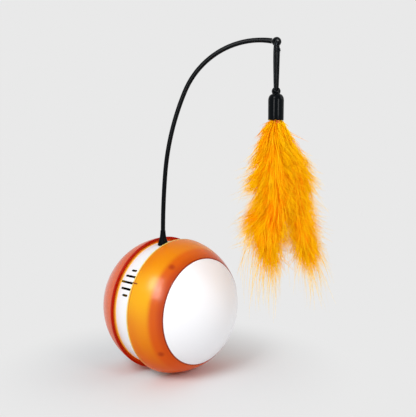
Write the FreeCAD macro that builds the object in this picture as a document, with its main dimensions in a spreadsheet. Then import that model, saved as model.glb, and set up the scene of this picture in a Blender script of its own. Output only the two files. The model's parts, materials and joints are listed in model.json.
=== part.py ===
import FreeCAD, Part
import math
import os
import re
import Sketcher

# A rolling cat toy: a ball of two driven wheels on a weighted core, with a wand and a feather lure.
# Millimetres. X is the axle, +X the right wheel; -Y is the front, where the sound slots are; Z is up.
# The origin is on the floor, midway between the two wheel rims that carry the ball.

doc = FreeCAD.newDocument("wobble_cat_toy")
sheet = doc.addObject("Spreadsheet::Sheet", "Sizes")

SIZES = {
    # Ball and its two wheels
    "ball_radius": 40.0,
    "rim_offset": 6.35,
    "shell_wall": 1.5,
    "shell_end": 25.9,
    "ledge_thickness": 1.7,
    "ledge_bore_radius": 23.2,
    "dome_apex": 39.0,
    "dome_inset": 0.2,
    "dome_wall": 1.8,
    "dome_rib_count": 6,
    "dome_rib_thickness": 1.2,
    "hub_radius": 3.8,
    "hub_gap": 0.4,
    "wheel_screw_circle": 26.0,
    "wheel_screw_count": 4,
    "wheel_screw_phase": 35.0,
    "wheel_screw_bite": 2.2,
    "wheel_boss_radius": 2.5,
    "wheel_boss_length": 6.0,
    "round_sides": 72,
    "hollow_sides": 36,
    "bend_sides": 8,
    "small_sides": 12,
    # Core between the wheels
    "lean": 9.5,
    "band_radius": 36.8,
    "band_half_width": 8.0,
    "core_end": 21.0,
    "core_end_radius": 30.4,
    "core_wall": 1.6,
    "cover_thickness": 1.6,
    "cover_gap": 0.1,
    "lug_width": 5.0,
    "lug_reach": 25.0,
    "lug_length": 6.6,
    "cover_screw_circle": 27.4,
    "cover_screw_count": 4,
    "cover_head": 0.8,
    # Screws, which are all of one size but for their lengths
    "screw_radius": 0.75,
    "screw_head_radius": 1.8,
    "screw_head": 1.0,
    "screw_bite": 4.2,
    "pilot_radius": 0.85,
    "through_radius": 1.05,
    # Sound slots and buzzer at the front
    "slot_angle": 51.5,
    "slot_pitch": 3.7,
    "slot_height": 1.3,
    "slot_length_outer": 4.4,
    "slot_length_inner": 9.2,
    "slot_length_middle": 12.8,
    "buzzer_radius": 7.0,
    "buzzer_depth": 4.0,
    "buzzer_face": 33.4,
    "buzzer_gap": 0.2,
    "buzzer_vent_radius": 1.2,
    # Drive train
    "shaft_radius": 2.0,
    "shaft_clearance": 0.05,
    "seat_clearance": 0.02,
    "shaft_inner_end": 9.0,
    "shaft_outer_end": 33.0,
    "groove_depth": 0.4,
    "plate_face": 11.0,
    "plate_thickness": 1.6,
    "post_circle": 25.0,
    "post_radius": 2.4,
    "bush_radius": 3.4,
    "bush_flange_radius": 4.6,
    "bush_flange": 0.8,
    "boss_radius": 5.2,
    "boss_length": 1.8,
    "gear_module": 0.8,
    "gear_teeth": 28,
    "pinion_teeth": 10,
    "gear_backlash": 0.12,
    "gear_start": 14.0,
    "gear_width": 3.2,
    "motor_angle": 35.0,
    "motor_width": 12.0,
    "motor_height": 10.0,
    "motor_can_length": 12.6,
    "gearhead_length": 8.0,
    "motor_tail": 0.8,
    "motor_shaft_radius": 1.5,
    "motor_shaft_seat": 4.7,
    "shaft_end_proud": 0.6,
    "clip_radius": 3.6,
    "clip_thickness": 0.6,
    # Battery, ballast and electronics
    "battery_length": 30.0,
    "battery_width": 19.0,
    "battery_height": 7.0,
    "battery_top": 14.2,
    "battery_shift": -4.5,
    "tray_wall": 1.2,
    "tray_gap": 0.2,
    "ballast_width": 23.0,
    "ballast_depth": 32.0,
    "ballast_shift": -11.4,
    "board_angle": 50.0,
    "board_face": 25.8,
    "board_thickness": 1.2,
    "board_length": 26.0,
    "board_width": 20.0,
    "board_post_offset": 8.0,
    "port_offset": 7.5,
    "port_width": 8.9,
    "port_height": 3.2,
    "port_margin": 0.3,
    "port_recess": 0.9,
    "port_wall": 0.3,
    "port_depth": 6.0,
    "tongue_thickness": 0.7,
    "button_radius": 3.2,
    "button_gap": 0.3,
    "button_proud": 0.5,
    "button_travel": 0.8,
    "button_flange": 1.0,
    "button_chamfer": 0.4,
    "button_rest_gap": 0.45,
    "switch_size": 6.0,
    "switch_height": 3.5,
    "switch_floor": 0.7,
    "stem_radius": 1.6,
    # Wand
    "socket_boss_radius": 4.6,
    "socket_depth": 8.5,
    "plug_radius": 2.6,
    "plug_clearance": 0.05,
    "foot_radius": 3.25,
    "foot_thickness": 1.15,
    "boot_radius": 2.5,
    "boot_tip_radius": 1.55,
    "boot_length": 7.0,
    "rod_radius": 1.3,
    "rod_rise": 2.6,
    "wand_heading": 28.0,
    "lower_bend_radius": 430.0,
    "lower_bend": 5.0,
    "middle_bend_radius": 145.0,
    "middle_bend": 19.0,
    "upper_bend_radius": 45.0,
    "upper_bend": 80.0,
    "eye_radius": 2.7,
    "eye_bore_radius": 1.5,
    "eye_thickness": 2.0,
    # Tether and lure
    "cord_radius": 0.9,
    "cord_ring_gap": 0.4,
    "tether_drop": 24.4,
    "knot_radius": 1.7,
    "knot_drop": 6.0,
    "bail_radius": 2.5,
    "bail_bore_radius": 1.3,
    "bail_rise": 3.3,
    "bail_thickness": 1.2,
    "ferrule_radius": 4.3,
    "ferrule_length": 12.0,
    "shoulder_height": 2.2,
    "shoulder_radius": 1.9,
    "ferrule_bore_radius": 3.1,
    "ferrule_bore_depth": 9.0,
    "quill_radius": 2.9,
    "quill_seat": 8.0,
    "quill_show": 3.0,
    "plume_heading": 15.7,
    "plume_length": 78.0,
    "plume_width": 41.0,
    "plume_depth": 36.0,
    "plume_wall": 1.2,
}

for row, (alias, number) in enumerate(SIZES.items(), start=1):
    sheet.set(f"A{row}", str(number))
    sheet.setAlias(f"A{row}", alias)
doc.recompute()


# Helpers: sizes are written as plain words and looked up in the sheet

FUNCTIONS = {"sqrt", "sin", "cos", "tan", "asin", "acos", "atan", "min", "max", "pi", "deg"}


def bound(text):
    """An expression with each size name looked up in the spreadsheet."""
    return re.sub(
        r"[a-z]\w*",
        lambda word: word.group() if word.group() in FUNCTIONS else "Sizes." + word.group(),
        str(text),
    )


def value(text):
    """The number that an expression of sizes has now."""
    number = sheet.evalExpression(bound(text))
    return float(getattr(number, "Value", number))


def bind(thing, **sizes):
    """Tie properties of an object to expressions of sizes."""
    for name, text in sizes.items():
        thing.setExpression(name, bound(text))
    return thing


# The wheels stand upright, and the core leans about the axle
RIM_RADIUS = "sqrt(ball_radius^2 - rim_offset^2)"
AXLE_HEIGHT = f"{RIM_RADIUS} * cos(180 / round_sides)"


def spot(x="0", y="0", z="0", axis="0;0;1", angle="0"):
    """A placement expression: a position, and a turn about an axis."""
    return f"placement(vector({bound(x)};{bound(y)};{bound(z)});rotation(vector({axis});{bound(angle)}))"


WHEEL = spot(z=AXLE_HEIGHT)
CORE = spot(z=AXLE_HEIGHT, axis="1;0;0", angle="lean")
ALONG_X = spot(axis="0;1;0", angle="90")
UPRIGHT = spot(axis="0;1;0", angle="-90")
SIDES = {"right": spot(), "left": spot(axis="0;0;1", angle="180")}


def place(thing, *spots):
    """Put an object at the product of several placements."""
    thing.setExpression("Placement", "*".join(spots))
    return thing


parts = []


def node(thing, label, *spots):
    """Name a finished sub-part, put it in the toy and list it for export."""
    thing.Label = label
    if spots:
        place(thing, *spots)
    parts.append(thing)
    return thing


def twins(thing, label, mount, *inner):
    """The same sub-part on both sides: the left one is turned half way round the vertical."""
    for side, side_spot in SIDES.items():
        copy = doc.addObject("Part::Compound", f"{label}_{side}")
        copy.Links = [thing]
        node(copy, f"{label}_{side}", mount, side_spot, *inner)


def box(name, length, width, height, *spots, x="0", y="0", z="0"):
    """A block centred in Y on its own place, starting at x and z."""
    block = doc.addObject("Part::Box", name)
    bind(block, Length=length, Width=width, Height=height)
    return place(block, *spots, spot(x, f"({y}) - ({width}) / 2", z))


def rod_along_x(name, radius, start, length, *spots, y="0", z="0"):
    """A cylinder whose axis runs along X from a start."""
    bar = bind(doc.addObject("Part::Cylinder", name), Radius=radius, Height=length)
    return place(bar, *spots, spot(start, y, z), ALONG_X)


def prism_along_x(name, radius, start, length, *spots, z="0", sides="small_sides"):
    """A many-sided bar along X, for screws, posts and plain holes, which it keeps light."""
    bar = doc.addObject("Part::Prism", name)
    bind(bar, Circumradius=radius, Height=length, Polygon=sides)
    return place(bar, *spots, spot(start, "0", z), ALONG_X)


def prism_up(name, radius, start, length, *spots, x="0", y="0", sides="small_sides"):
    bar = doc.addObject("Part::Prism", name)
    bind(bar, Circumradius=radius, Height=length, Polygon=sides)
    return place(bar, *spots, spot(x, y, start))


def rod_up(name, radius, start, length, *spots, x="0", y="0"):
    """A cylinder whose axis runs along Z from a start."""
    bar = bind(doc.addObject("Part::Cylinder", name), Radius=radius, Height=length)
    return place(bar, *spots, spot(x, y, start))


def fuse(name, pieces):
    joined = doc.addObject("Part::MultiFuse", name)
    joined.Shapes = pieces
    return joined


def cut(name, base, tools):
    """The base with every tool taken out of it."""
    for number, tool in enumerate(tools, start=1):
        base_less_tool = doc.addObject("Part::Cut", f"{name}_cut_{number}")
        base_less_tool.Base = base
        base_less_tool.Tool = tool
        base = base_less_tool
    return base


def common(name, first, second):
    overlap = doc.addObject("Part::MultiCommon", name)
    overlap.Shapes = [first, second]
    return overlap


def facet_round(name, rings, sides):
    """A round solid about X made of flats: rings of (x, radius), with a flat at its lowest side.

    A ring of no radius is a tip. Flats keep these large round forms light.
    """
    count = int(value(sides))
    loops = []
    for x, radius in rings:
        turns = [2 * math.pi * (step + 0.5) / count for step in range(count)]
        reach = value(radius)
        at = value(x)
        loops.append([FreeCAD.Vector(at, -reach * math.sin(a), -reach * math.cos(a)) for a in turns])

    def face(corners):
        distinct = [p for i, p in enumerate(corners) if not p.isEqual(corners[i - 1], 1e-6)]
        return Part.Face(Part.makePolygon(distinct + distinct[:1]))

    faces = []
    for near, far in zip(loops, loops[1:]):
        for i in range(count):
            faces.append(face([near[i - 1], near[i], far[i], far[i - 1]]))
    for loop in (loops[0], loops[-1]):
        if not loop[0].isEqual(loop[1], 1e-6):
            faces.append(face(loop))
    solid = Part.Solid(Part.Shell(faces))
    if solid.Volume < 0:
        solid.reverse()
    piece = doc.addObject("Part::Feature", name)
    piece.Shape = solid
    return piece


def new_body(name):
    return doc.addObject("PartDesign::Body", name)


def origin_plane(body, role):
    return next(f for f in body.Origin.OriginFeatures if f.Role == role)


def new_sketch(body, name, role, height="0"):
    """An empty sketch on one of the body's own origin planes, lifted along its normal."""
    sketch = body.newObject("Sketcher::SketchObject", name)
    sketch.AttachmentSupport = (origin_plane(body, role), "")
    sketch.MapMode = "FlatFace"
    sketch.setExpression("AttachmentOffset.Base.z", bound(height))
    return sketch


def hold_point(sketch, item, end, x, y):
    """Hold one end of a sketch line or arc, or a point, at two sizes."""
    for direction, text in (("DistanceX", x), ("DistanceY", y)):
        number = sketch.addConstraint(Sketcher.Constraint(direction, -1, 1, item, end, value(text)))
        sketch.setExpression(f"Constraints[{number}]", bound(text))


def draw_outline(sketch, corners):
    """A closed outline. A corner is (x, y), or (x, y, (mid x, mid y)) for an arc that leads to it."""
    points = [FreeCAD.Vector(value(c[0]), value(c[1]), 0) for c in corners]
    for i, corner in enumerate(corners):
        start, end = points[i - 1], points[i]
        if len(corner) == 3:
            middle = FreeCAD.Vector(value(corner[2][0]), value(corner[2][1]), 0)
            item = sketch.addGeometry(Part.Arc(start, middle, end))
            turn = (middle - start).cross(end - middle).z
            first, last = (1, 2) if turn > 0 else (2, 1)
            mark = sketch.addGeometry(Part.Point(middle), True)
            hold_point(sketch, mark, 1, *corner[2])
            sketch.addConstraint(Sketcher.Constraint("PointOnObject", mark, 1, item))
        else:
            item = sketch.addGeometry(Part.LineSegment(start, end))
            first, last = 1, 2
        hold_point(sketch, item, first, *corners[i - 1][:2])
        hold_point(sketch, item, last, *corner[:2])


def draw_circle(sketch, radius, x="0", y="0"):
    centre = FreeCAD.Vector(value(x), value(y), 0)
    item = sketch.addGeometry(Part.Circle(centre, FreeCAD.Vector(0, 0, 1), value(radius)))
    hold_point(sketch, item, 3, x, y)
    number = sketch.addConstraint(Sketcher.Constraint("Radius", item, value(radius)))
    sketch.setExpression(f"Constraints[{number}]", bound(radius))


def draw_polygon(sketch, radius, sides, x="0", y="0"):
    """A regular outline with many sides, for small rounds that don't turn or slide on anything."""
    turns = [f"360 / ({sides}) * {number + 0.5}" for number in range(int(value(sides)))]
    corners = [(f"{x} + {radius} * cos({turn})", f"{y} + {radius} * sin({turn})") for turn in turns]
    draw_outline(sketch, corners)


def pad(body, sketch, length):
    feature = body.newObject("PartDesign::Pad", sketch.Name + "_pad")
    feature.Profile = sketch
    bind(feature, Length=length)
    return feature


def pocket(body, sketch, depth, reverse=False):
    """A pocket that has to remove something."""
    doc.recompute()
    before = body.Shape.Volume
    feature = body.newObject("PartDesign::Pocket", sketch.Name + "_pocket")
    feature.Profile = sketch
    feature.Reversed = reverse
    bind(feature, Length=depth)
    doc.recompute()
    if body.Shape.Volume > before - 1e-6:
        raise RuntimeError(sketch.Name + " cuts nothing")
    return feature


def revolve(body, sketch, axis):
    feature = body.newObject("PartDesign::Revolution", sketch.Name + "_turn")
    feature.Profile = sketch
    feature.ReferenceAxis = (sketch, [axis])
    return feature


# Places on the core, each turned about the axle from the wand socket

SLOTS = spot(axis="1;0;0", angle="slot_angle")
BOARD = spot(axis="1;0;0", angle="-board_angle")
BUTTON_PLACE = "-port_offset"
SOCKET_FLOOR = "band_radius - socket_depth"


# Core: one barrel whose middle is the visible band, with a lug for each cover screw

END_OPENING = "core_end_radius - core_wall * 1.15"
COVER_FACE = "(core_end - cover_thickness)"
POSTS = [spot(axis="1;0;0", angle=f"120 * {number}") for number in range(3)]
POST_START = "(plate_face + plate_thickness)"


def cover_screw_turns():
    """Where the cover's screws are, turned about the axle: midway between the four main directions."""
    count = int(value("cover_screw_count"))
    return [spot(axis="1;0;0", angle=f"360 / cover_screw_count * {number + 0.5}") for number in range(count)]


def barrel(name, middle_radius, end_radius, sides):
    rings = [
        ("-core_end", end_radius),
        ("-band_half_width", middle_radius),
        ("band_half_width", middle_radius),
        ("core_end", end_radius),
    ]
    return facet_round(name, rings, sides)


def core_shell():
    """The barrel: a plain band between two cone shoulders, open at both ends for the covers."""
    outside = barrel("core_outside", "band_radius", "core_end_radius", "round_sides")
    hollow = barrel("core_hollow", "band_radius - core_wall", END_OPENING, "hollow_sides")
    wall_middle = barrel(
        "core_wall_middle", "band_radius - core_wall / 2", "core_end_radius - core_wall / 2", "hollow_sides"
    )
    wall = cut("core_wall", outside, [hollow])
    boss_start = SOCKET_FLOOR + " - core_wall"
    inner_parts = [rod_up("socket_boss", "socket_boss_radius", boss_start, "socket_depth + core_wall")]
    for side, side_spot in SIDES.items():
        for number, turn in enumerate(cover_screw_turns()):
            lug = box(
                f"lug_{side}_{number}",
                "lug_length",
                "lug_width",
                "band_radius - lug_reach",
                side_spot,
                turn,
                x=f"{COVER_FACE} - lug_length",
                z="lug_reach",
            )
            inner_parts.append(lug)
    for sign in (-1, 1):
        inner_parts.append(
            box(
                f"board_post_{'front' if sign < 0 else 'back'}",
                "post_radius * 1.5",
                "post_radius * 1.5",
                "band_radius - board_face",
                BOARD,
                x=f"{sign} * board_post_offset - post_radius * 0.75",
                z="board_face",
            )
        )
        rib_start = "buzzer_radius + buzzer_gap" if sign > 0 else "-buzzer_radius - buzzer_gap - core_wall"
        inner_parts.append(
            box(
                f"buzzer_rib_{'left' if sign < 0 else 'right'}",
                "core_wall",
                "buzzer_radius * 1.6",
                "band_radius - buzzer_face + buzzer_depth",
                SLOTS,
                x=rib_start,
                z="buzzer_face - buzzer_depth",
            )
        )
    fittings = common("core_fittings", fuse("core_inner_parts", inner_parts), wall_middle)
    body = fuse("core_body", [wall, fittings])
    tools = [
        rod_up("socket_bore", "plug_radius + plug_clearance", SOCKET_FLOOR, "socket_depth + 5"),
        rod_up("button_hole", "button_radius + button_gap", "board_face + 4", "20", BOARD, y=BUTTON_PLACE),
    ]
    port_size = ("port_width + port_margin * 2", "port_height + port_margin * 2")
    tools.append(slot("port_hole", *port_size, BOARD, y="port_offset"))
    for number, kind in enumerate(("outer", "inner", "middle", "inner", "outer")):
        turn = f"{number - 2} * slot_pitch / band_radius * 180 / pi"
        slot_spot = spot(axis="1;0;0", angle=turn)
        tools.append(slot(f"slot_{number}", f"slot_length_{kind}", "slot_height", SLOTS, slot_spot))
    for side, side_spot in SIDES.items():
        for number, turn in enumerate(cover_screw_turns()):
            tools.append(
                prism_along_x(
                    f"lug_hole_{side}_{number}",
                    "pilot_radius",
                    f"{COVER_FACE} - screw_bite - 0.5",
                    "screw_bite + 1",
                    side_spot,
                    turn,
                    z="cover_screw_circle",
                )
            )
    node(cut("core_shell", body, [fuse("core_tools", tools)]), "core_shell", CORE)


def slot(name, length, width, *spots, y="0"):
    """A round-ended slot cutter through the band."""
    return pill(name, length, width, "band_radius - core_wall * 3", "core_wall * 6", *spots, y=y)


def pill(name, length, width, start, depth, *spots, y="0"):
    """A round-ended bar: its length runs along X, its depth along Z."""
    straight = f"(({length}) - ({width}))"
    block = box(f"{name}_middle", straight, width, depth, *spots, x=f"-{straight} / 2", y=y, z=start)
    ends = [
        prism_up(f"{name}_{end}", f"({width}) / 2", start, depth, *spots, x=f"{sign} * {straight} / 2", y=y)
        for end, sign in (("low", -1), ("high", 1))
    ]
    return fuse(name, [block] + ends)


def side_cover():
    """The flat end of the core: it carries the wheel's bush and the three posts of the gear plate."""
    edge = f"{END_OPENING} - cover_gap"
    disc = facet_round("cover_disc", [(COVER_FACE, edge), ("core_end", edge)], "hollow_sides")
    boss_start = f"{COVER_FACE} - boss_length"
    solids = [disc, rod_along_x("cover_boss", "boss_radius", boss_start, "boss_length + 0.5")]
    bore_length = "boss_length + cover_thickness + 2"
    tools = [rod_along_x("cover_bush_bore", "bush_radius + seat_clearance", f"{boss_start} - 1", bore_length)]
    length = f"{COVER_FACE} - {POST_START} + 0.5"
    for number, post_spot in enumerate(POSTS):
        post = prism_along_x(f"post_{number}", "post_radius", POST_START, length, post_spot, z="post_circle")
        solids.append(post)
        tools.append(
            prism_along_x(
                f"post_hole_{number}",
                "pilot_radius",
                f"{POST_START} - 1",
                "screw_bite + 1.5",
                post_spot,
                z="post_circle",
            )
        )
    for number, turn in enumerate(cover_screw_turns()):
        tools.append(
            prism_along_x(
                f"cover_hole_{number}",
                "through_radius",
                f"{COVER_FACE} - 1",
                "cover_thickness + 2",
                turn,
                z="cover_screw_circle",
            )
        )
    body = cut("side_cover", fuse("cover_solid", solids), [fuse("cover_tools", tools)])
    twins(body, "side_cover", CORE)


def screw(name, head_height, length, head_start, *spots, z="0"):
    """A small screw along X, pointing to +X: its head's height, the length under it, and its start."""
    head = prism_along_x(
        f"{name}_head", "screw_head_radius", head_start, head_height, *spots, z=z, sides="small_sides * 2 / 3"
    )
    shank_start = f"{head_start} + ({head_height}) - 0.1"
    shank = prism_along_x(
        f"{name}_shank", "screw_radius", shank_start, f"{length} + 0.1", *spots, z=z, sides="small_sides / 2"
    )
    return fuse(name, [head, shank])


def cover_screws():
    """Four screws through each cover into the core's lugs, all in one group."""
    inward = spot(axis="0;0;1", angle="180")
    screws = [
        screw(
            f"cover_screw_{side}_{number}",
            "cover_head",
            "cover_thickness + screw_bite",
            "-core_end - cover_head",
            side_spot,
            turn,
            inward,
            z="cover_screw_circle",
        )
        for side, side_spot in SIDES.items()
        for number, turn in enumerate(cover_screw_turns())
    ]
    node(fuse("cover_screws", screws), "cover_screws", CORE)


def bearing_bush():
    """A flanged bronze bush pressed into the cover's boss."""
    start = f"{COVER_FACE} - boss_length"
    outline = [
        (start, "shaft_radius + shaft_clearance"),
        ("core_end + bush_flange", "shaft_radius + shaft_clearance"),
        ("core_end + bush_flange", "bush_flange_radius"),
        ("core_end", "bush_flange_radius"),
        ("core_end", "bush_radius"),
        (start, "bush_radius"),
    ]
    body = new_body("bearing_bush")
    sketch = new_sketch(body, "bush_profile", "XY_Plane")
    draw_outline(sketch, outline)
    revolve(body, sketch, "H_Axis")
    twins(body, "bearing_bush", CORE)


# Drive: a gearmotor behind a plate on each side turns its wheel through a pinion and a gear

GEAR_DISTANCE = "gear_module * (gear_teeth + pinion_teeth) / 2"
MOTOR_Y = f"-{GEAR_DISTANCE} * cos(motor_angle)"
MOTOR_Z = f"-{GEAR_DISTANCE} * sin(motor_angle)"
MOTOR = spot("0", MOTOR_Y, MOTOR_Z)


def gear_plate():
    """A moulded plate on the cover's posts, with the shaft's inner bearing and the motor's seat."""
    reach = "post_radius + 1.2"
    low_y = "post_circle * cos(30)"
    low_z = "post_circle * sin(30)"
    body = new_body("gear_plate")
    sketch = new_sketch(body, "plate_outline", "YZ_Plane", "plate_face")
    draw_outline(
        sketch,
        [
            (f"-({reach})", f"post_circle + {reach}"),
            (f"-({low_y}) - ({reach})", f"-({low_z}) + {reach}"),
            (f"-({low_y}) - ({reach})", f"-({low_z})"),
            (f"-({low_y})", f"-({low_z}) - ({reach})"),
            (low_y, f"-({low_z}) - ({reach})"),
            (f"{low_y} + {reach}", f"-({low_z})"),
            (f"{low_y} + {reach}", f"-({low_z}) + {reach}"),
            (reach, f"post_circle + {reach}"),
        ],
    )
    pad(body, sketch, "plate_thickness")
    holes = new_sketch(body, "plate_holes", "YZ_Plane", POST_START)
    draw_circle(holes, "shaft_radius + shaft_clearance")
    draw_circle(holes, "motor_shaft_radius + 1", MOTOR_Y, MOTOR_Z)
    for y, z in (("0", "post_circle"), (low_y, f"-({low_z})"), (f"-({low_y})", f"-({low_z})")):
        draw_polygon(holes, "through_radius", "small_sides", y, z)
    pocket(body, holes, "plate_thickness + 1")
    twins(body, "gear_plate", CORE)


def plate_screws():
    """Three screws hold each gear plate to its cover's posts, all in one group."""
    screws = [
        screw(
            f"plate_screw_{side}_{number}",
            "screw_head",
            "plate_thickness + screw_bite",
            "plate_face - screw_head",
            side_spot,
            post_spot,
            z="post_circle",
        )
        for side, side_spot in SIDES.items()
        for number, post_spot in enumerate(POSTS)
    ]
    node(fuse("plate_screws", screws), "plate_screws", CORE)


def gearmotor():
    """A flat-sided motor can with a square gearhead, open at the front for its shaft."""
    head_start = "plate_face - gearhead_length"
    can_start = f"{head_start} - motor_can_length"
    low = "-motor_height / 2"
    length = "motor_can_length"
    can_round = prism_along_x("can_round", "motor_width / 2", can_start, length, sides="hollow_sides")
    can_flats = box("can_flats", length, "motor_width", "motor_height", x=can_start, z=low)
    can = common("motor_can", can_round, can_flats)
    head = box("gearhead", "gearhead_length", "motor_width", "motor_height", x=head_start, z=low)
    tail_start = f"{can_start} - motor_tail"
    tail = prism_along_x("motor_end", "motor_shaft_radius + 0.5", tail_start, "motor_tail + 1")
    bore_start = "plate_face - motor_shaft_seat - 0.3"
    bore = rod_along_x("motor_bore", "motor_shaft_radius + shaft_clearance", bore_start, "gearhead_length")
    body = cut("gearmotor", fuse("motor_solid", [can, head, tail]), [bore])
    twins(body, "gearmotor", CORE, MOTOR)


def motor_shaft():
    start = "plate_face - motor_shaft_seat"
    length = f"gear_start + gear_width + shaft_end_proud - ({start})"
    shaft = rod_along_x("motor_shaft", "motor_shaft_radius", start, length)
    twins(shaft, "motor_shaft", CORE, MOTOR)


def tooth_space(teeth):
    """One tooth space of an involute gear, centred on the upright axis, as an outline for a sketch.

    At a radius r the space's half angle is 90/teeth + involute(r) - involute(pitch), plus the backlash.
    Each flank is drawn through the root, the pitch circle and a point just past the tip.
    """
    pitch = f"(gear_module * {teeth} / 2)"
    pressure = 20
    base = f"({pitch} * cos({pressure}))"
    root = f"({pitch} - 1.2 * gear_module)"
    beyond = f"({pitch} + 1.1 * gear_module)"

    def involute(radius):
        angle = f"acos(min(1; {base} / {radius}))"
        return f"(tan({angle}) * 180 / pi - {angle} / 1deg)"

    def flank(radius, side):
        half = f"(90 / {teeth} + gear_backlash / {pitch} * 45 / pi + {involute(radius)} - {involute(pitch)})"
        return f"{side} * {radius} * sin({half})", f"{radius} * cos({half})"

    above_tip = ("0", f"{pitch} + 1.6 * gear_module")
    rising = [flank(radius, 1) for radius in (root, pitch, beyond)]
    falling = [flank(radius, -1) for radius in (beyond, pitch, root)]
    return rising + [above_tip] + falling


def spur_gear(name, teeth, bore):
    """A spur gear about X: a disc with one tooth space cut and repeated round it."""
    body = new_body(name)
    disc = new_sketch(body, f"{name}_disc", "YZ_Plane", "gear_start")
    draw_circle(disc, f"gear_module * ({teeth} / 2 + 1)")
    draw_circle(disc, bore)
    pad(body, disc, "gear_width")
    space = new_sketch(body, f"{name}_space", "YZ_Plane", "gear_start + gear_width")
    draw_outline(space, tooth_space(teeth))
    first_space = pocket(body, space, "gear_width + 1")
    pattern = body.newObject("PartDesign::PolarPattern", f"{name}_teeth")
    pattern.Originals = [first_space]
    pattern.Axis = (origin_plane(body, "X_Axis"), [""])
    pattern.Angle = 360
    bind(pattern, Occurrences=teeth)
    body.Tip = pattern
    return body


# Turned so that a space of the gear faces the pinion, and a tooth of the pinion faces the gear
GEAR_TURN = spot(axis="1;0;0", angle="90 + motor_angle")
PINION_TURN = spot(axis="1;0;0", angle="270 + motor_angle + 180 / pinion_teeth")


def wheel_gear():
    gear = spur_gear("wheel_gear", "gear_teeth", "shaft_radius + seat_clearance")
    twins(gear, "wheel_gear", CORE, GEAR_TURN)


def drive_pinion():
    pinion = spur_gear("drive_pinion", "pinion_teeth", "motor_shaft_radius + seat_clearance")
    twins(pinion, "drive_pinion", CORE, MOTOR, PINION_TURN)


# Wheels: a clear coloured shell screwed to a white dome, which is fixed on the shaft

CLIP_START = "(plate_face - clip_thickness - 0.3)"
HUB_START = "(core_end + bush_flange + hub_gap)"
LEDGE_FACE = "(shell_end - ledge_thickness)"
SHELL_STEPS = 4
DOME_STEPS = 4


def wheel_shaft():
    """The wheel's steel shaft, grooved near its inner end for the retaining clip."""
    groove_end = f"{CLIP_START} + clip_thickness + 0.05"
    groove_start = f"{CLIP_START} - 0.05"
    body = new_body("wheel_shaft")
    sketch = new_sketch(body, "shaft_profile", "XY_Plane")
    draw_outline(
        sketch,
        [
            ("shaft_inner_end", "0"),
            ("shaft_outer_end", "0"),
            ("shaft_outer_end", "shaft_radius"),
            (groove_end, "shaft_radius"),
            (groove_end, "shaft_radius - groove_depth"),
            (groove_start, "shaft_radius - groove_depth"),
            (groove_start, "shaft_radius"),
            ("shaft_inner_end", "shaft_radius"),
        ],
    )
    revolve(body, sketch, "H_Axis")
    twins(body, "wheel_shaft", WHEEL)


def shaft_clip():
    """A snap ring that keeps the wheel from pulling out."""
    ring = prism_along_x("clip_ring", "clip_radius", CLIP_START, "clip_thickness", sides="hollow_sides")
    start = f"{CLIP_START} - 1"
    bore_radius = "shaft_radius - groove_depth + seat_clearance"
    bore = rod_along_x("clip_bore", bore_radius, start, "clip_thickness + 2")
    mouth = box("clip_mouth", "clip_thickness + 2", "shaft_radius * 1.4", "clip_radius * 2", x=start)
    twins(cut("shaft_clip", ring, [bore, mouth]), "shaft_clip", WHEEL)


def ball_ring(radius, x):
    """The radius of a ball's surface at a distance along the axle."""
    return f"sqrt(({radius})^2 - ({x})^2)"


def wheel_shell():
    """The translucent part of the ball, with a ledge inside for the dome."""
    first = math.asin(value("rim_offset / ball_radius"))
    last = math.asin(value("shell_end / ball_radius"))
    turns = [first + (last - first) * step / SHELL_STEPS for step in range(SHELL_STEPS + 1)]
    outer_places = [f"ball_radius * {math.sin(turn)}" for turn in turns]
    outer_places[0], outer_places[-1] = "rim_offset", "shell_end"
    outer_rings = [(x, ball_ring("ball_radius", x)) for x in outer_places]
    outside = facet_round("shell_outside", outer_rings, "round_sides")
    inner = "ball_radius - shell_wall"
    inner_places = ["rim_offset", f"(rim_offset + {LEDGE_FACE}) / 2", LEDGE_FACE]
    rings = [("rim_offset - 1", ball_ring(inner, "rim_offset"))]
    rings += [(x, ball_ring(inner, x)) for x in inner_places]
    hollow = facet_round("shell_hollow", rings, "hollow_sides")
    opening = facet_round(
        "shell_opening",
        [(f"{LEDGE_FACE} - 1", "ledge_bore_radius"), ("shell_end + 1", "ledge_bore_radius")],
        "hollow_sides",
    )
    holes = wheel_screw_bars("ledge_hole", "through_radius", f"{LEDGE_FACE} - 1", "ledge_thickness + 2")
    tools = [hollow, opening] + holes
    twins(cut("wheel_shell", outside, tools), "wheel_shell", WHEEL)


def wheel_screw_bars(name, radius, start, length):
    return [
        prism_along_x(f"{name}_{number}", radius, start, length, turn, z="wheel_screw_circle")
        for number, turn in enumerate(wheel_screw_turns())
    ]


def wheel_screw_turns():
    count = int(value("wheel_screw_count"))
    angles = [f"wheel_screw_phase + 360 / wheel_screw_count * {number}" for number in range(count)]
    return [spot(axis="1;0;0", angle=angle) for angle in angles]


DOME_EDGE = "(sqrt(ball_radius^2 - shell_end^2) - dome_inset)"
DOME_CENTRE = f"((dome_apex^2 - shell_end^2 - {DOME_EDGE}^2) / (2 * (dome_apex - shell_end)))"
DOME_RADIUS = f"(dome_apex - {DOME_CENTRE})"


def dome_rings(radius, start):
    """Rings on a ball about the dome's centre, from a start along the axle to the tip."""
    first = math.asin(value(f"({start} - {DOME_CENTRE}) / ({radius})"))
    angles = [first + (math.pi / 2 - first) * i / DOME_STEPS for i in range(DOME_STEPS)]
    rings = [(f"{DOME_CENTRE} + ({radius}) * {math.sin(a)}", f"({radius}) * {math.cos(a)}") for a in angles]
    return rings + [(f"{DOME_CENTRE} + ({radius})", "0")]


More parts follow.
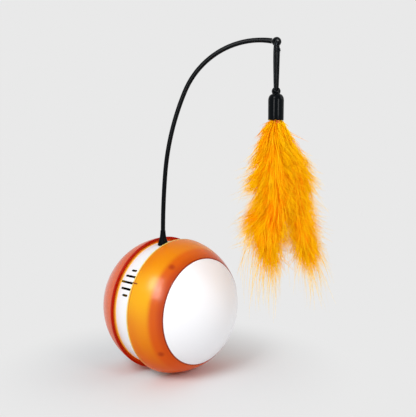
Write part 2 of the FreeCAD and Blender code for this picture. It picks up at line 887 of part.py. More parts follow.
def wheel_dome():
    """The white cap, with a hub for the shaft, cross ribs and a boss for each screw."""
    outside = facet_round("dome_outside", dome_rings(DOME_RADIUS, "shell_end"), "round_sides")
    inner_rings = dome_rings(f"{DOME_RADIUS} - dome_wall", "shell_end")
    hollow = facet_round("dome_hollow", [("shell_end - 1", inner_rings[0][1])] + inner_rings, "hollow_sides")
    wall = cut("dome_shell", outside, [hollow])
    ribs = [
        box(
            f"dome_rib_{number}",
            "dome_apex - shell_end - 5",
            "dome_rib_thickness",
            "ball_radius * 2",
            spot(axis="1;0;0", angle=f"360 / dome_rib_count * {number}"),
            x="shell_end + 5",
            z="-ball_radius",
        )
        for number in range(int(value("dome_rib_count")) // 2)
    ]
    bosses = wheel_screw_bars("dome_boss", "wheel_boss_radius", "shell_end", "wheel_boss_length")
    middle_rings = dome_rings(f"{DOME_RADIUS} - dome_wall / 2", "shell_end")
    wall_middle = facet_round("dome_wall_middle", middle_rings, "hollow_sides")
    fittings = common("dome_fittings", fuse("dome_ribs", ribs + bosses), wall_middle)
    hub = rod_along_x("dome_hub", "hub_radius", HUB_START, f"dome_apex - dome_wall * 0.75 - {HUB_START}")
    solid = fuse("dome_solid", [wall, fittings, hub])
    bore_length = f"shaft_outer_end + 0.2 - {HUB_START} + 1"
    shaft_bore = rod_along_x("dome_bore", "shaft_radius + seat_clearance", f"{HUB_START} - 1", bore_length)
    holes = wheel_screw_bars("dome_hole", "pilot_radius", "shell_end - 1", "wheel_screw_bite + 1.4")
    twins(cut("wheel_dome", solid, [shaft_bore] + holes), "wheel_dome", WHEEL)


def wheel_screws():
    """Four screws through the shell's ledge into the dome, in one group."""
    screws = [
        screw(
            f"wheel_screw_{number}",
            "screw_head",
            "ledge_thickness + wheel_screw_bite",
            f"{LEDGE_FACE} - screw_head",
            turn,
            z="wheel_screw_circle",
        )
        for number, turn in enumerate(wheel_screw_turns())
    ]
    twins(fuse("wheel_screws", screws), "wheel_screws", WHEEL)


# Battery, ballast and electronics

BATTERY_BOTTOM = "-(battery_top + battery_height)"


def battery():
    """A flat cell that lies across the axle, between the two gear plates."""
    corner = spot("-battery_width / 2", "battery_shift - battery_length / 2", BATTERY_BOTTOM)
    node(box("battery", "battery_width", "battery_length", "battery_height"), "battery", CORE, corner)


def battery_tray():
    """A shallow tray under the battery, open at the top."""
    outer = box(
        "tray_outer",
        "battery_width + (tray_wall + tray_gap) * 2",
        "battery_length + (tray_wall + tray_gap) * 2",
        "battery_height * 0.6 + tray_wall",
        x="-battery_width / 2 - tray_wall - tray_gap",
        y="battery_shift",
        z=f"{BATTERY_BOTTOM} - tray_wall",
    )
    inner = box(
        "tray_inner",
        "battery_width + tray_gap * 2",
        "battery_length + tray_gap * 2",
        "battery_height",
        x="-battery_width / 2 - tray_gap",
        y="battery_shift",
        z=BATTERY_BOTTOM,
    )
    node(cut("battery_tray", outer, [inner]), "battery_tray", CORE)


def ballast_weight():
    """A steel weight under the tray, shaped to the core's wall and set forward: it keeps the wand up."""
    stock = barrel(
        "ballast_stock", "band_radius - core_wall - cover_gap", f"{END_OPENING} - cover_gap", "hollow_sides"
    )
    block = box(
        "ballast_block",
        "ballast_width",
        "ballast_depth",
        f"band_radius + {BATTERY_BOTTOM} - tray_wall",
        x="-ballast_width / 2",
        y="ballast_shift",
        z="-band_radius",
    )
    node(common("ballast_weight", stock, block), "ballast_weight", CORE)


def circuit_board():
    start = "board_face - board_thickness"
    low_x = "-board_width / 2"
    board = box("board_blank", "board_width", "board_length", "board_thickness", x=low_x, z=start)
    holes = [
        prism_up(
            f"board_hole_{sign}",
            "through_radius",
            f"{start} - 1",
            "board_thickness + 2",
            x=f"{sign} * board_post_offset",
        )
        for sign in (-1, 1)
    ]
    node(cut("circuit_board", board, holes), "circuit_board", CORE, BOARD)


def board_screws():
    """Two screws hold the board to its posts."""
    screws = [
        screw(
            f"board_screw_{number}",
            "screw_head",
            "board_thickness + screw_bite",
            "board_face - board_thickness - screw_head",
            spot(f"{sign} * board_post_offset"),
            UPRIGHT,
        )
        for number, sign in enumerate((-1, 1))
    ]
    node(fuse("board_screws", screws), "board_screws", CORE, BOARD)


def charging_socket():
    """The board's charging receptacle: a metal mouth with a tongue, just below the band's surface."""
    mouth = "sqrt(band_radius^2 - port_offset^2) - port_recess"
    height = f"{mouth} - board_face"
    floor = f"{mouth} - port_depth"
    shell = pill("port_shell", "port_width", "port_height", "board_face", height)
    inner_size = ("port_width - port_wall * 2", "port_height - port_wall * 2")
    hollow = pill("port_hollow", *inner_size, floor, "port_depth + 1")
    tongue_width = "(port_width - port_height * 0.7)"
    tongue = box(
        "port_tongue",
        tongue_width,
        "tongue_thickness",
        "port_depth - 0.5",
        x=f"-{tongue_width} / 2",
        z=f"{floor} - 0.3",
    )
    body = fuse("charging_socket", [cut("port_open", shell, [hollow]), tongue])
    node(body, "charging_socket", CORE, BOARD, spot("0", "port_offset"))


def tact_switch():
    """The switch under the button, open where the button's stem goes in."""
    size = "switch_size"
    block = box("switch_block", size, size, "switch_height", x=f"-{size} / 2", z="board_face")
    bore = rod_up("switch_bore", "stem_radius + 0.2", "board_face + switch_floor", "switch_height")
    node(cut("tact_switch", block, [bore]), "tact_switch", CORE, BOARD, spot("0", BUTTON_PLACE))


def power_button():
    """A round button in the band, with a flange that keeps it in and a stem down to the switch."""
    top = "sqrt(band_radius^2 - (port_offset - button_radius)^2) + button_proud"
    wall_edge = "(port_offset + button_radius + button_flange)"
    flange_top = f"sqrt((band_radius - core_wall)^2 - {wall_edge}^2) - button_rest_gap"
    stem_end = "board_face + switch_floor + 0.1 + button_travel"
    body = new_body("power_button")
    sketch = new_sketch(body, "button_profile", "XZ_Plane")
    draw_outline(
        sketch,
        [
            ("0", stem_end),
            ("stem_radius", stem_end),
            ("stem_radius", f"{flange_top} - button_flange"),
            ("button_radius + button_flange", f"{flange_top} - button_flange"),
            ("button_radius + button_flange", flange_top),
            ("button_radius", flange_top),
            ("button_radius", f"{top} - button_chamfer"),
            ("button_radius - button_chamfer", top),
            ("0", top),
        ],
    )
    revolve(body, sketch, "V_Axis")
    node(body, "power_button", CORE, BOARD, spot("0", BUTTON_PLACE))


def buzzer():
    """A round sounder behind the slots."""
    can = prism_up(
        "buzzer_can", "buzzer_radius", "buzzer_face - buzzer_depth", "buzzer_depth", sides="hollow_sides"
    )
    hole = prism_up("buzzer_vent", "buzzer_vent_radius", "buzzer_face - 1", "2")
    node(cut("buzzer", can, [hole]), "buzzer", CORE, SLOTS)


# Wand: a boot plugged into the core, and a springy rod bent over in one upright plane

FOOT_UNDERSIDE = "(band_radius + 0.05)"
FOOT_TOP = f"({FOOT_UNDERSIDE} + foot_thickness)"
FOOT_Z = f"{AXLE_HEIGHT} + cos(lean) * {FOOT_TOP}"
WAND = spot("0", f"-sin(lean) * {FOOT_TOP}", FOOT_Z, "0;0;1", "wand_heading")


def wand_boot():
    """The plug and foot follow the socket; the tapered sleeve above them stands upright."""
    plug = rod_up("boot_plug", "plug_radius", f"{SOCKET_FLOOR} + 0.3", f"socket_depth - 0.3 + 0.1", CORE)
    foot = rod_up("boot_foot", "foot_radius", FOOT_UNDERSIDE, "foot_thickness", CORE)
    sleeve_rings = [("-foot_thickness / 2", "boot_radius"), ("boot_length", "boot_tip_radius")]
    sleeve = facet_round("boot_sleeve", sleeve_rings, "hollow_sides")
    place(sleeve, WAND, UPRIGHT)
    bore = rod_up("boot_bore", "rod_radius + seat_clearance", "0", "boot_length", WAND)
    node(cut("wand_boot", fuse("boot_solid", [plug, foot, sleeve]), [bore]), "wand_boot")


def bend_points():
    """The ends and middles of the rod's three bends, in its own upright plane."""
    across, up, angle = "0", "rod_rise", "0"
    points = []
    for name in ("lower", "middle", "upper"):
        radius = f"{name}_bend_radius"

        def along(share):
            turned = f"({angle} + {name}_bend * {share})"
            return (
                f"{across} + {radius} * (cos({angle}) - cos({turned}))",
                f"{up} + {radius} * (sin({turned}) - sin({angle}))",
            )

        middle, end = along("0.5"), along("1")
        points.append((middle, end))
        across, up = end
        angle = f"({angle} + {name}_bend)"
    return points


EYE_X, EYE_Z = bend_points()[-1][1]


def wand_rod():
    """A round rod swept along the bends, with a flat eye at its tip for the tether."""
    body = new_body("wand_rod")
    route = new_sketch(body, "rod_route", "XZ_Plane")
    line = route.addGeometry(
        Part.LineSegment(FreeCAD.Vector(0, 0, 0), FreeCAD.Vector(0, value("rod_rise"), 0))
    )
    hold_point(route, line, 1, "0", "0")
    hold_point(route, line, 2, "0", "rod_rise")
    start = ("0", "rod_rise")
    for middle, end in bend_points():
        vectors = [FreeCAD.Vector(value(x), value(y), 0) for x, y in (start, middle, end)]
        arc = route.addGeometry(Part.Arc(*vectors))
        mark = route.addGeometry(Part.Point(vectors[1]), True)
        hold_point(route, mark, 1, *middle)
        route.addConstraint(Sketcher.Constraint("PointOnObject", mark, 1, arc))
        hold_point(route, arc, 2, *start)
        hold_point(route, arc, 1, *end)
        start = end
    section = new_sketch(body, "rod_section", "XY_Plane")
    draw_polygon(section, "rod_radius", "bend_sides")
    pipe = body.newObject("PartDesign::AdditivePipe", "rod_pipe")
    pipe.Profile = section
    pipe.Spine = (route, [f"Edge{number}" for number in range(1, 5)])
    doc.recompute()
    eye = new_sketch(body, "eye_disc", "XZ_Plane")
    draw_circle(eye, "eye_radius", EYE_X, EYE_Z)
    eye_pad = pad(body, eye, "eye_thickness")
    eye_pad.Midplane = True
    hole = new_sketch(body, "eye_hole", "XZ_Plane", "rod_radius * 2")
    draw_circle(hole, "eye_bore_radius", EYE_X, EYE_Z)
    pocket(body, hole, "rod_radius * 4")
    node(body, "wand_rod", WAND)


# Tether and lure: a cord looped through the eye and the ferrule's bail, and the feathers under it

EYE = spot(EYE_X, "0", EYE_Z)
BAIL_TOP = spot(EYE_X, "0", f"{EYE_Z} - tether_drop")
TOP_TURN = "(eye_thickness / 2 + cord_radius + cord_ring_gap * 2)"
LOW_TURN = "(bail_thickness / 2 + cord_radius + cord_ring_gap * 1.4)"


def tether_loop():
    """The cord as a belt round the eye's rim and the bail, closed by a knot on its front run."""
    top, low, drop = value(TOP_TURN), value(LOW_TURN), value("tether_drop")
    span = drop - top
    tilt = math.asin((top - low) / span)
    knot = value("knot_drop")
    radius = value("cord_radius")

    def at(centre, reach, angle):
        return FreeCAD.Vector(0, reach * math.cos(angle), centre + reach * math.sin(angle))

    high_front, high_back = at(-top, top, math.pi - tilt * -1), at(-top, top, -tilt)
    low_front, low_back = at(-drop, low, math.pi + tilt), at(-drop, low, -tilt)
    share = (high_front.z + knot) / (high_front.z - low_front.z)
    gap = 0.15 / span
    knot_above = high_front + (low_front - high_front) * (share - gap)
    knot_below = high_front + (low_front - high_front) * (share + gap)
    edges = [
        Part.LineSegment(knot_above, high_front),
        Part.Arc(high_front, at(-top, top, math.pi / 2), high_back),
        Part.LineSegment(high_back, low_back),
        Part.Arc(low_back, at(-drop, low, -math.pi / 2), low_front),
        Part.LineSegment(low_front, knot_below),
    ]
    route = Part.Wire([edge.toShape() for edge in edges])
    along = (high_front - knot_above).normalize()
    aside = FreeCAD.Vector(1, 0, 0)
    across = along.cross(aside)
    count = int(value("bend_sides"))
    turns = [2 * math.pi * (step + 0.5) / count for step in range(count)]
    ring = [knot_above + aside * (radius * math.cos(a)) + across * (radius * math.sin(a)) for a in turns]
    section = Part.makePolygon(ring + ring[:1])
    tube = route.makePipeShell([section], True, False)
    expected = Part.Face(section).Area * route.Length
    print(f"tether: length {route.Length:.1f} mm, turns {top:.2f} and {low:.2f} mm, "
          f"volume {tube.Volume:.1f} of {expected:.1f} mm3")
    cord = doc.addObject("Part::Feature", "tether_cord")
    cord.Shape = tube
    lump_rings = [
        ("-knot_radius", "cord_radius"),
        ("-knot_radius / 2", "knot_radius"),
        ("knot_radius / 2", "knot_radius"),
        ("knot_radius", "cord_radius"),
    ]
    lump = facet_round("tether_knot", lump_rings, "hollow_sides / 3")
    middle = (knot_above + knot_below) / 2
    lump.Placement = FreeCAD.Placement(middle, FreeCAD.Rotation(FreeCAD.Vector(0, 1, 0), 90))
    node(fuse("tether_loop", [cord, lump]), "tether_loop", WAND, EYE)


FERRULE_TOP = "-bail_rise"
FERRULE_LOW = f"({FERRULE_TOP} - shoulder_height - ferrule_length)"


def ferrule():
    """A turned cap with a domed shoulder, a socket for the quills and a flat bail on top."""
    body = new_body("ferrule")
    profile = new_sketch(body, "ferrule_profile", "XZ_Plane")
    edge = f"({FERRULE_TOP} - shoulder_height)"

    def shoulder_point(turn):
        across = f"shoulder_radius + (ferrule_radius - shoulder_radius) * cos({turn})"
        return across, f"{edge} + shoulder_height * sin({turn})"

    draw_outline(
        profile,
        [
            ("0", FERRULE_TOP),
            ("0", f"{FERRULE_LOW} + ferrule_bore_depth"),
            ("ferrule_bore_radius", f"{FERRULE_LOW} + ferrule_bore_depth"),
            ("ferrule_bore_radius", FERRULE_LOW),
            ("ferrule_radius", FERRULE_LOW),
            ("ferrule_radius", edge),
            shoulder_point(45),
            ("shoulder_radius", FERRULE_TOP),
        ],
    )
    revolve(body, profile, "V_Axis")
    bail = new_sketch(body, "bail_outline", "XZ_Plane")
    centre = "-(bail_radius + bail_bore_radius) / 2"
    foot = f"({FERRULE_TOP} - 0.5)"
    draw_outline(
        bail,
        [
            ("-bail_bore_radius", foot),
            ("-bail_radius", foot),
            ("-bail_radius", centre),
            ("bail_radius", centre, ("0", f"{centre} + bail_radius")),
            ("bail_radius", foot),
            ("bail_bore_radius", foot),
            ("bail_bore_radius", centre),
            ("-bail_bore_radius", centre, ("0", f"{centre} + bail_bore_radius")),
        ],
    )
    bail_pad = pad(body, bail, "bail_thickness")
    bail_pad.Midplane = True
    node(body, "ferrule", WAND, BAIL_TOP)


PLUME_TOP = f"({FERRULE_LOW} - quill_show)"


def quill_bundle():
    """The bound quills, glued into the ferrule."""
    bundle = rod_up("quill_bundle", "quill_radius", PLUME_TOP, "quill_seat + quill_show")
    node(bundle, "quill_bundle", WAND, BAIL_TOP, spot(z=PLUME_TOP))


def oval_tower(name, rings, sides):
    """A soft upright form of flats: rings of (drop, centre across, half width, half depth)."""
    loops = []
    turns = [2 * math.pi * step / sides for step in range(sides)]
    for drop, x, width, depth in rings:
        loops.append([FreeCAD.Vector(x + width * math.cos(a), depth * math.sin(a), -drop) for a in turns])
    faces = [Part.Face(Part.makePolygon(loop + loop[:1])) for loop in (loops[0], loops[-1])]
    for near, far in zip(loops, loops[1:]):
        for i in range(sides):
            for corners in ((near[i - 1], near[i], far[i]), (near[i - 1], far[i], far[i - 1])):
                faces.append(Part.Face(Part.makePolygon(list(corners) + [corners[0]])))
    solid = Part.Solid(Part.Shell(faces))
    if solid.Volume < 0:
        solid.reverse()
    piece = doc.addObject("Part::Feature", name)
    piece.Shape = solid
    return piece


def feather_plume():
    """The fluffy feathers as one soft form, hollow and open below: narrow at the quills, with two tufts."""
    length, half_width, half_depth = value("plume_length"), value("plume_width / 2"), value("plume_depth / 2")

    def rings(shares, wall=0.0):
        return [
            (down * length + wall, across * half_width, wide * half_width - wall, deep * half_depth - wall)
            for down, across, wide, deep in shares
        ]

    main = [
        (0.00, -0.06, 0.26, 0.28),
        (0.12, -0.07, 0.40, 0.45),
        (0.26, 0.09, 0.78, 0.80),
        (0.44, 0.12, 0.90, 0.95),
        (0.54, 0.16, 0.84, 0.92),
        (0.70, 0.10, 1.00, 1.00),
        (0.80, -0.09, 0.68, 0.75),
        (0.87, -0.18, 0.40, 0.50),
        (1.00, -0.04, 0.12, 0.14),
    ]
    tuft = [
        (0.60, 0.50, 0.40, 0.45),
        (0.78, 0.76, 0.44, 0.50),
        (0.87, 0.80, 0.33, 0.40),
        (0.95, 0.94, 0.12, 0.14),
    ]
    plume_sides = 16
    wall = value("plume_wall")
    outer = [
        oval_tower("plume_main", rings(main), plume_sides),
        oval_tower("plume_tuft", rings(tuft), plume_sides),
    ]
    inner = [
        oval_tower("plume_hollow", rings(main, wall), plume_sides // 2),
        oval_tower("tuft_hollow", rings(tuft[:-1], wall), plume_sides // 2),
    ]
    plume = cut("feather_plume", fuse("plume_outside", outer), [fuse("plume_inside", inner)])
    node(plume, "feather_plume", WAND, BAIL_TOP, spot(z=PLUME_TOP, angle="plume_heading"))


core_shell()
cover_screws()
plate_screws()
side_cover()
bearing_bush()
gear_plate()
gearmotor()
motor_shaft()
drive_pinion()
wheel_gear()
wheel_shaft()
shaft_clip()
wheel_shell()
wheel_dome()
wheel_screws()
battery()
battery_tray()
ballast_weight()
circuit_board()
board_screws()
charging_socket()
tact_switch()
power_button()
buzzer()
wand_boot()
wand_rod()
tether_loop()
ferrule()
quill_bundle()
feather_plume()
doc.recompute()

broken = [thing.Name for thing in doc.Objects if {"Invalid", "Error"} & set(thing.State)]
broken += [part.Label for part in parts if part.Shape.isNull() or not part.Shape.isValid()]
if broken:
    raise RuntimeError("these did not build: " + ", ".join(broken))

os.makedirs("parts", exist_ok=True)
for part in parts:
    part.Shape.exportStep(os.path.join("parts", part.Label + ".step"))
print(f"{len(parts)} sub-parts")
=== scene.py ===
# %% [markdown]
# # A rolling cat toy, dressed for its portrait
#
# The engineering model arrives as a fixed frame: every part is in its place, in metres, with the
# axle along X, the front at -Y and the floor at Z = 0. Here each part that shows gets a smooth
# skin with the small roundings that catch light, and each part, seen or not, gets a finish.
# The order is camera, cord, ball, wand, lure, the works inside, and last the floor and the light.

import json
import math
import random

import bmesh
import bpy
from mathutils import Matrix, Vector


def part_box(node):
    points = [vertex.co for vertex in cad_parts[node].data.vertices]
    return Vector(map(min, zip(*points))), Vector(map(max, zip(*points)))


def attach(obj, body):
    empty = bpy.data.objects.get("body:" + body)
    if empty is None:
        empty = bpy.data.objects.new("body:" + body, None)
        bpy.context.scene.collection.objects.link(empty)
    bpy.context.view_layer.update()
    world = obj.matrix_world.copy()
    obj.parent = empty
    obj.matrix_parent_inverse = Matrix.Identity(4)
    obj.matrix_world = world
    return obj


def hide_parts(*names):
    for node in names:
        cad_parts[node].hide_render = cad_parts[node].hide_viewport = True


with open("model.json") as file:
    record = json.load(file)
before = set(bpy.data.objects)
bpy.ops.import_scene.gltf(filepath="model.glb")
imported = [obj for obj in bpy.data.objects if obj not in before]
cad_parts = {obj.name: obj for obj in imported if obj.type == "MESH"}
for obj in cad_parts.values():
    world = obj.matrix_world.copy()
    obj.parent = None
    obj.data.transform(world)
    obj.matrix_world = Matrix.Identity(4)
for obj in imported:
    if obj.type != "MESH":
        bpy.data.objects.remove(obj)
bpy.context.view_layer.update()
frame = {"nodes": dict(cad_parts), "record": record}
scene = bpy.context.scene
MM = 0.001


def linked(name, data):
    """A new object in the scene."""
    piece = bpy.data.objects.new(name, data)
    scene.collection.objects.link(piece)
    return piece


def in_mm(spot):
    return [round(part / MM, 2) for part in spot]


# %% [markdown]
# ## Sizes that the skins share with the frame
#
# The wheels' axle sets every round form of the ball, and its height is read from the frame. The
# other sizes, and the core's lean about the axle, repeat the ones that the parts were drawn with.

# %% Shared sizes
BALL_RADIUS = 40.0 * MM
RIM_OFFSET = 6.35 * MM
SHELL_WALL = 1.5 * MM
SHELL_END = 25.9 * MM
DOME_APEX = 39.0 * MM
BAND_RADIUS = 36.8 * MM
BAND_HALF_WIDTH = 8.0 * MM
CORE_END = 21.0 * MM
CORE_END_RADIUS = 30.4 * MM
LEAN = math.radians(9.5)
BOARD_ANGLE = math.radians(-50)
SLOT_ANGLE = math.radians(51.5)
WAND_HEADING = math.radians(28)

dome_low, dome_high = (Vector(corner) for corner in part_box("wheel_dome_right"))
AXLE_HEIGHT = (dome_low.z + dome_high.z) / 2
AXLE = Matrix.Translation((0, 0, AXLE_HEIGHT))
CORE = AXLE @ Matrix.Rotation(LEAN, 4, "X")
FOOT_TOP = BAND_RADIUS + 1.2 * MM
WAND = Matrix.Translation(CORE @ Vector((0, 0, FOOT_TOP))) @ Matrix.Rotation(WAND_HEADING, 4, "Z")
print(f"axle {AXLE_HEIGHT / MM:.2f} mm up, wand base at {in_mm(WAND.translation)}")

# %% [markdown]
# ## The camera
#
# The picture was taken from above the ball's centre, 44 degrees round to the right of the front,
# with a lens a little longer than normal. The camera is level from side to side, so a heading and
# a small tilt place it fully, and the lens follows from how large the ball looks.

# %% Camera
CAMERA_PLACE = Vector((266.33, -247.33, 131.87)) * MM
CAMERA_HEADING = math.radians(43.66)
CAMERA_TILT = math.radians(5.58)
IMAGE_HEIGHT = 417
FOCAL_PIXELS = 620

camera = linked("camera", bpy.data.cameras.new("camera"))
camera.location = CAMERA_PLACE
camera.rotation_euler = (math.radians(90) - CAMERA_TILT, 0, CAMERA_HEADING)
camera.data.lens = camera.data.sensor_width * FOCAL_PIXELS / IMAGE_HEIGHT
camera.data.clip_start = 10 * MM
scene.camera = camera
VIEW = camera.rotation_euler.to_matrix()
print(f"lens {camera.data.lens:.1f} mm")

# %% [markdown]
# ## Shader arithmetic
#
# A finish is easier to read as a formula than as a web of nodes. `Level` wraps one number in a
# shader, and plus, minus and times on it add the Math nodes. `Finish` holds one material, and its
# single `add` method makes any other node from its type, its settings and its inputs.


# %% Shader helpers
class Level:
    """A number that varies over a surface."""

    def __init__(self, finish, socket):
        self.finish = finish
        self.socket = socket

    def math(self, operation, *inputs):
        return self.finish.add("ShaderNodeMath", {"operation": operation}, dict(enumerate(inputs)))

    def __add__(self, other):
        return self.math("ADD", self, other)

    def __sub__(self, other):
        return self.math("SUBTRACT", self, other)

    def __rsub__(self, other):
        return self.math("SUBTRACT", other, self)

    def __mul__(self, other):
        return self.math("MULTIPLY", self, other)

    __radd__ = __add__
    __rmul__ = __mul__

    def size(self):
        return self.math("ABSOLUTE", self)

    def larger(self, other):
        return self.math("MAXIMUM", self, other)

    def sine(self):
        return self.math("SINE", self)

    def step(self, low, high):
        """0 below low, 1 above high, and a soft S between."""
        inputs = {"Value": self, "From Min": low, "From Max": high}
        return self.finish.add("ShaderNodeMapRange", {"interpolation_type": "SMOOTHSTEP"}, inputs)


def linear(red, green, blue):
    """A colour as a screen shows it, 0 to 255, turned to the light it stands for."""
    parts = []
    for level in (red, green, blue):
        share = level / 255
        parts.append(share / 12.92 if share <= 0.04045 else ((share + 0.055) / 1.055) ** 2.4)
    return (*parts, 1.0)


class Finish:
    """One material, built round a principled shader."""

    def __init__(self, name, colour, roughness, **constants):
        self.material = bpy.data.materials.new(name)
        self.material.use_nodes = True
        self.nodes = self.material.node_tree.nodes
        self.links = self.material.node_tree.links
        self.shader = self.nodes["Principled BSDF"]
        self.colour = colour
        self.feed("Base Color", colour)
        self.feed("Roughness", roughness)
        for socket, value in constants.items():
            self.feed(socket.replace("_", " "), value)
        print("finish:", name)

    def feed(self, name, value, node=None):
        """Set a socket, or link a level to it."""
        socket = (node or self.shader).inputs[name]
        if isinstance(value, Level):
            self.links.new(value.socket, socket)
        else:
            socket.default_value = value

    def add(self, kind, settings=None, inputs=None, output=0):
        """Any node, as the level of one of its outputs."""
        node = self.nodes.new(kind)
        for name, value in (settings or {}).items():
            setattr(node, name, value)
        for name, value in (inputs or {}).items():
            self.feed(name, value, node)
        return Level(self, node.outputs[output])

    def place(self):
        """The spot on the object, in metres, in the frame's own axes."""
        return self.add("ShaderNodeTexCoord", output="Object")

    def axes(self):
        """The spot's distance along each axis."""
        node = self.add("ShaderNodeSeparateXYZ", inputs={"Vector": self.place()}).socket.node
        return [Level(self, node.outputs[axis]) for axis in "XYZ"]

    def noise(self, scale, detail=2.0, stretch=(1, 1, 1)):
        stretched = {0: self.place(), 1: stretch}
        place = self.add("ShaderNodeVectorMath", {"operation": "MULTIPLY"}, stretched)
        inputs = {"Vector": place, "Scale": scale, "Detail": detail, "Roughness": 0.5}
        return self.add("ShaderNodeTexNoise", inputs=inputs)

    def blend(self, first, second, factor):
        """From the first colour to the second as the factor goes from 0 to 1."""
        inputs = {"Factor": factor, 6: first, 7: second}
        return self.add("ShaderNodeMix", {"data_type": "RGBA"}, inputs, output=2)

    def tint(self, colour, factor):
        """Turn the finish's own colour into another as the factor goes from 0 to 1."""
        self.feed("Base Color", self.blend(self.colour, colour, factor))

    def bump(self, height, distance, strength):
        inputs = {"Height": height, "Distance": distance, "Strength": strength}
        self.feed("Normal", self.add("ShaderNodeBump", inputs=inputs))


def wear(piece, finish):
    """Give a piece a finish in place of any that it has."""
    piece.data.materials.clear()
    piece.data.materials.append(finish.material)


print("shader helpers ready")

# %% [markdown]
# ## Mesh helpers
#
# Most parts of a moulded toy are turned forms, so one helper spins an outline about an axis, and
# another rounds the outline's corners first: a real moulding has no sharp edge, and those small
# roundings are what make it look solid. Swept forms get a tube helper of their own. All of them
# are rings of points, and `between` closes the surface from one ring to the next.


# %% Mesh helpers
def rounded(outline, radius, steps=4):
    """An open outline with each inner corner turned into a small arc."""
    points = [Vector(p) for p in outline]
    result = [points[0]]
    for before, corner, after in zip(points, points[1:], points[2:]):
        near, far = (before - corner), (after - corner)
        reach = min(radius, near.length * 0.45, far.length * 0.45)
        start, end = corner + near.normalized() * reach, corner + far.normalized() * reach
        for step in range(steps + 1):
            share = step / steps
            result.append(start.lerp(corner, share).lerp(corner.lerp(end, share), share))
    result.append(points[-1])
    return result


def around(sides):
    """The angles of a ring's points."""
    return [2 * math.pi * side / sides for side in range(sides)]


def between(near, far):
    """Faces from one ring of vertex numbers to the next. A ring of one number is a tip."""
    faces = []
    for side in range(max(len(near), len(far))):
        after = side + 1
        lower = (near[side % len(near)], near[after % len(near)])
        upper = (far[after % len(far)], far[side % len(far)])
        faces.append(tuple(dict.fromkeys(lower + upper)))
    return faces


def sleeve(rings, sides, closed=False):
    """Faces of a run of equal rings whose vertices follow one another."""
    numbers = [range(ring * sides, (ring + 1) * sides) for ring in range(rings)]
    if closed:
        numbers.append(numbers[0])
    return [face for near, far in zip(numbers, numbers[1:]) for face in between(near, far)]


def merged(*parts):
    """One set of vertices and faces out of several."""
    vertices, faces = [], []
    for more_vertices, more_faces in parts:
        first = len(vertices)
        vertices += more_vertices
        faces += [tuple(first + corner for corner in face) for face in more_faces]
    return vertices, faces


def plain_mesh(name, vertices, faces):
    mesh = bpy.data.meshes.new(name)
    mesh.from_pydata([tuple(vertex) for vertex in vertices], [], faces)
    return linked(name, mesh)


def face_outward(piece):
    shape = bmesh.new()
    shape.from_mesh(piece.data)
    bmesh.ops.recalc_face_normals(shape, faces=shape.faces)
    shape.to_mesh(piece.data)
    shape.free()


def smooth(piece, crease=35):
    """Shade smoothly, apart from edges that bend by more than the crease angle."""
    piece.data.shade_smooth()
    piece.data.set_sharp_from_angle(angle=math.radians(crease))


def new_piece(name, vertices, faces, body, slot, crease=35):
    """A mesh that rides on a body. The slot argument is not used."""
    piece = plain_mesh(name, vertices, faces)
    piece.data.validate()
    smooth(piece, crease)
    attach(piece, body)
    print(f"{name}: {len(faces)} faces on {body}")
    return piece


def turned(name, outline, place, body, slot, sides=128):
    """Spin an outline of (along, radius) about the X axis of a place."""
    vertices, rings = [], []
    for along, radius in outline:
        first = len(vertices)
        for turn in around(sides if radius > 0 else 1):
            vertices.append(place @ Vector((along, radius * math.sin(turn), radius * math.cos(turn))))
        rings.append(range(first, len(vertices)))
    faces = [face for near, far in zip(rings, rings[1:]) for face in between(near, far)]
    piece = new_piece(name, vertices, faces, body, slot)
    face_outward(piece)
    return piece


def tube_parts(points, radii, sides):
    """Vertices and faces of a closed-ended tube through points, turned as little as possible."""
    vertices = []
    across = (points[1] - points[0]).orthogonal().normalized()
    for index, (point, radius) in enumerate(zip(points, radii)):
        before, after = points[max(index - 1, 0)], points[min(index + 1, len(points) - 1)]
        heading = (after - before).normalized()
        across = (across - heading * across.dot(heading)).normalized()
        aside = heading.cross(across)
        for turn in around(sides):
            vertices.append(point + (across * math.cos(turn) + aside * math.sin(turn)) * radius)
    start, end = range(sides), range(len(vertices) - sides, len(vertices))
    return vertices, sleeve(len(points), sides) + [tuple(reversed(start)), tuple(end)]


def hollowed(piece, cutters):
    """Cut the cutters' shapes out of a piece, and delete the cutters."""
    for cutter in cutters:
        modifier = piece.modifiers.new("cut", "BOOLEAN")
        modifier.operation = "DIFFERENCE"
        modifier.solver = "EXACT"
        modifier.object = cutter
    graph = bpy.context.evaluated_depsgraph_get()
    mesh = bpy.data.meshes.new_from_object(piece.evaluated_get(graph))
    piece.modifiers.clear()
    piece.data = mesh
    smooth(piece, 30)
    for cutter in cutters:
        bpy.data.objects.remove(cutter)


print("mesh helpers ready")

# %% [markdown]
# ## The tether
#
# The lure hangs on a short braided cord, tied into a loop that runs through the eye at the wand's
# tip and through the little bail on the lure's cap. Two thin runs hang side by side and look like
# one flat dark band from the camera. A smooth spline along a few listed points, in millimetres
# from the eye, gives the loop its soft turns, and the braid itself is left to the finish.

# %% Tether
CORD_RADIUS = 0.9 * MM
BENDS = ((430.0, 5.0), (145.0, 19.0), (45.0, 80.0))
ROD_RISE = 2.6 * MM


def rod_point(bends):
    """The point on the rod after so many bends, in the wand's own upright plane."""
    across, up, angle = 0.0, ROD_RISE, 0.0
    for index, (radius, bend) in enumerate(BENDS):
        share = min(max(bends - index, 0), 1)
        after = angle + math.radians(bend) * share
        across += radius * MM * (math.cos(angle) - math.cos(after))
        up += radius * MM * (math.sin(after) - math.sin(angle))
        angle = after
    return Vector((across, 0, up))


EYE = WAND @ Matrix.Translation(rod_point(len(BENDS)))
TETHER_ROUTE = [
    (0.50, 2.68, -3.9),
    (0.30, 2.70, -1.9),
    (0.0, 2.70, 0.0),
    (0.0, -2.70, 0.0),
    (-0.55, -2.66, -5.4),
    (-0.25, -2.13, -22.3),
    (0.0, -2.06, -26.46),
    (0.0, 2.06, -26.46),
    (0.25, 2.13, -22.3),
    (0.55, 2.62, -4.2),
]


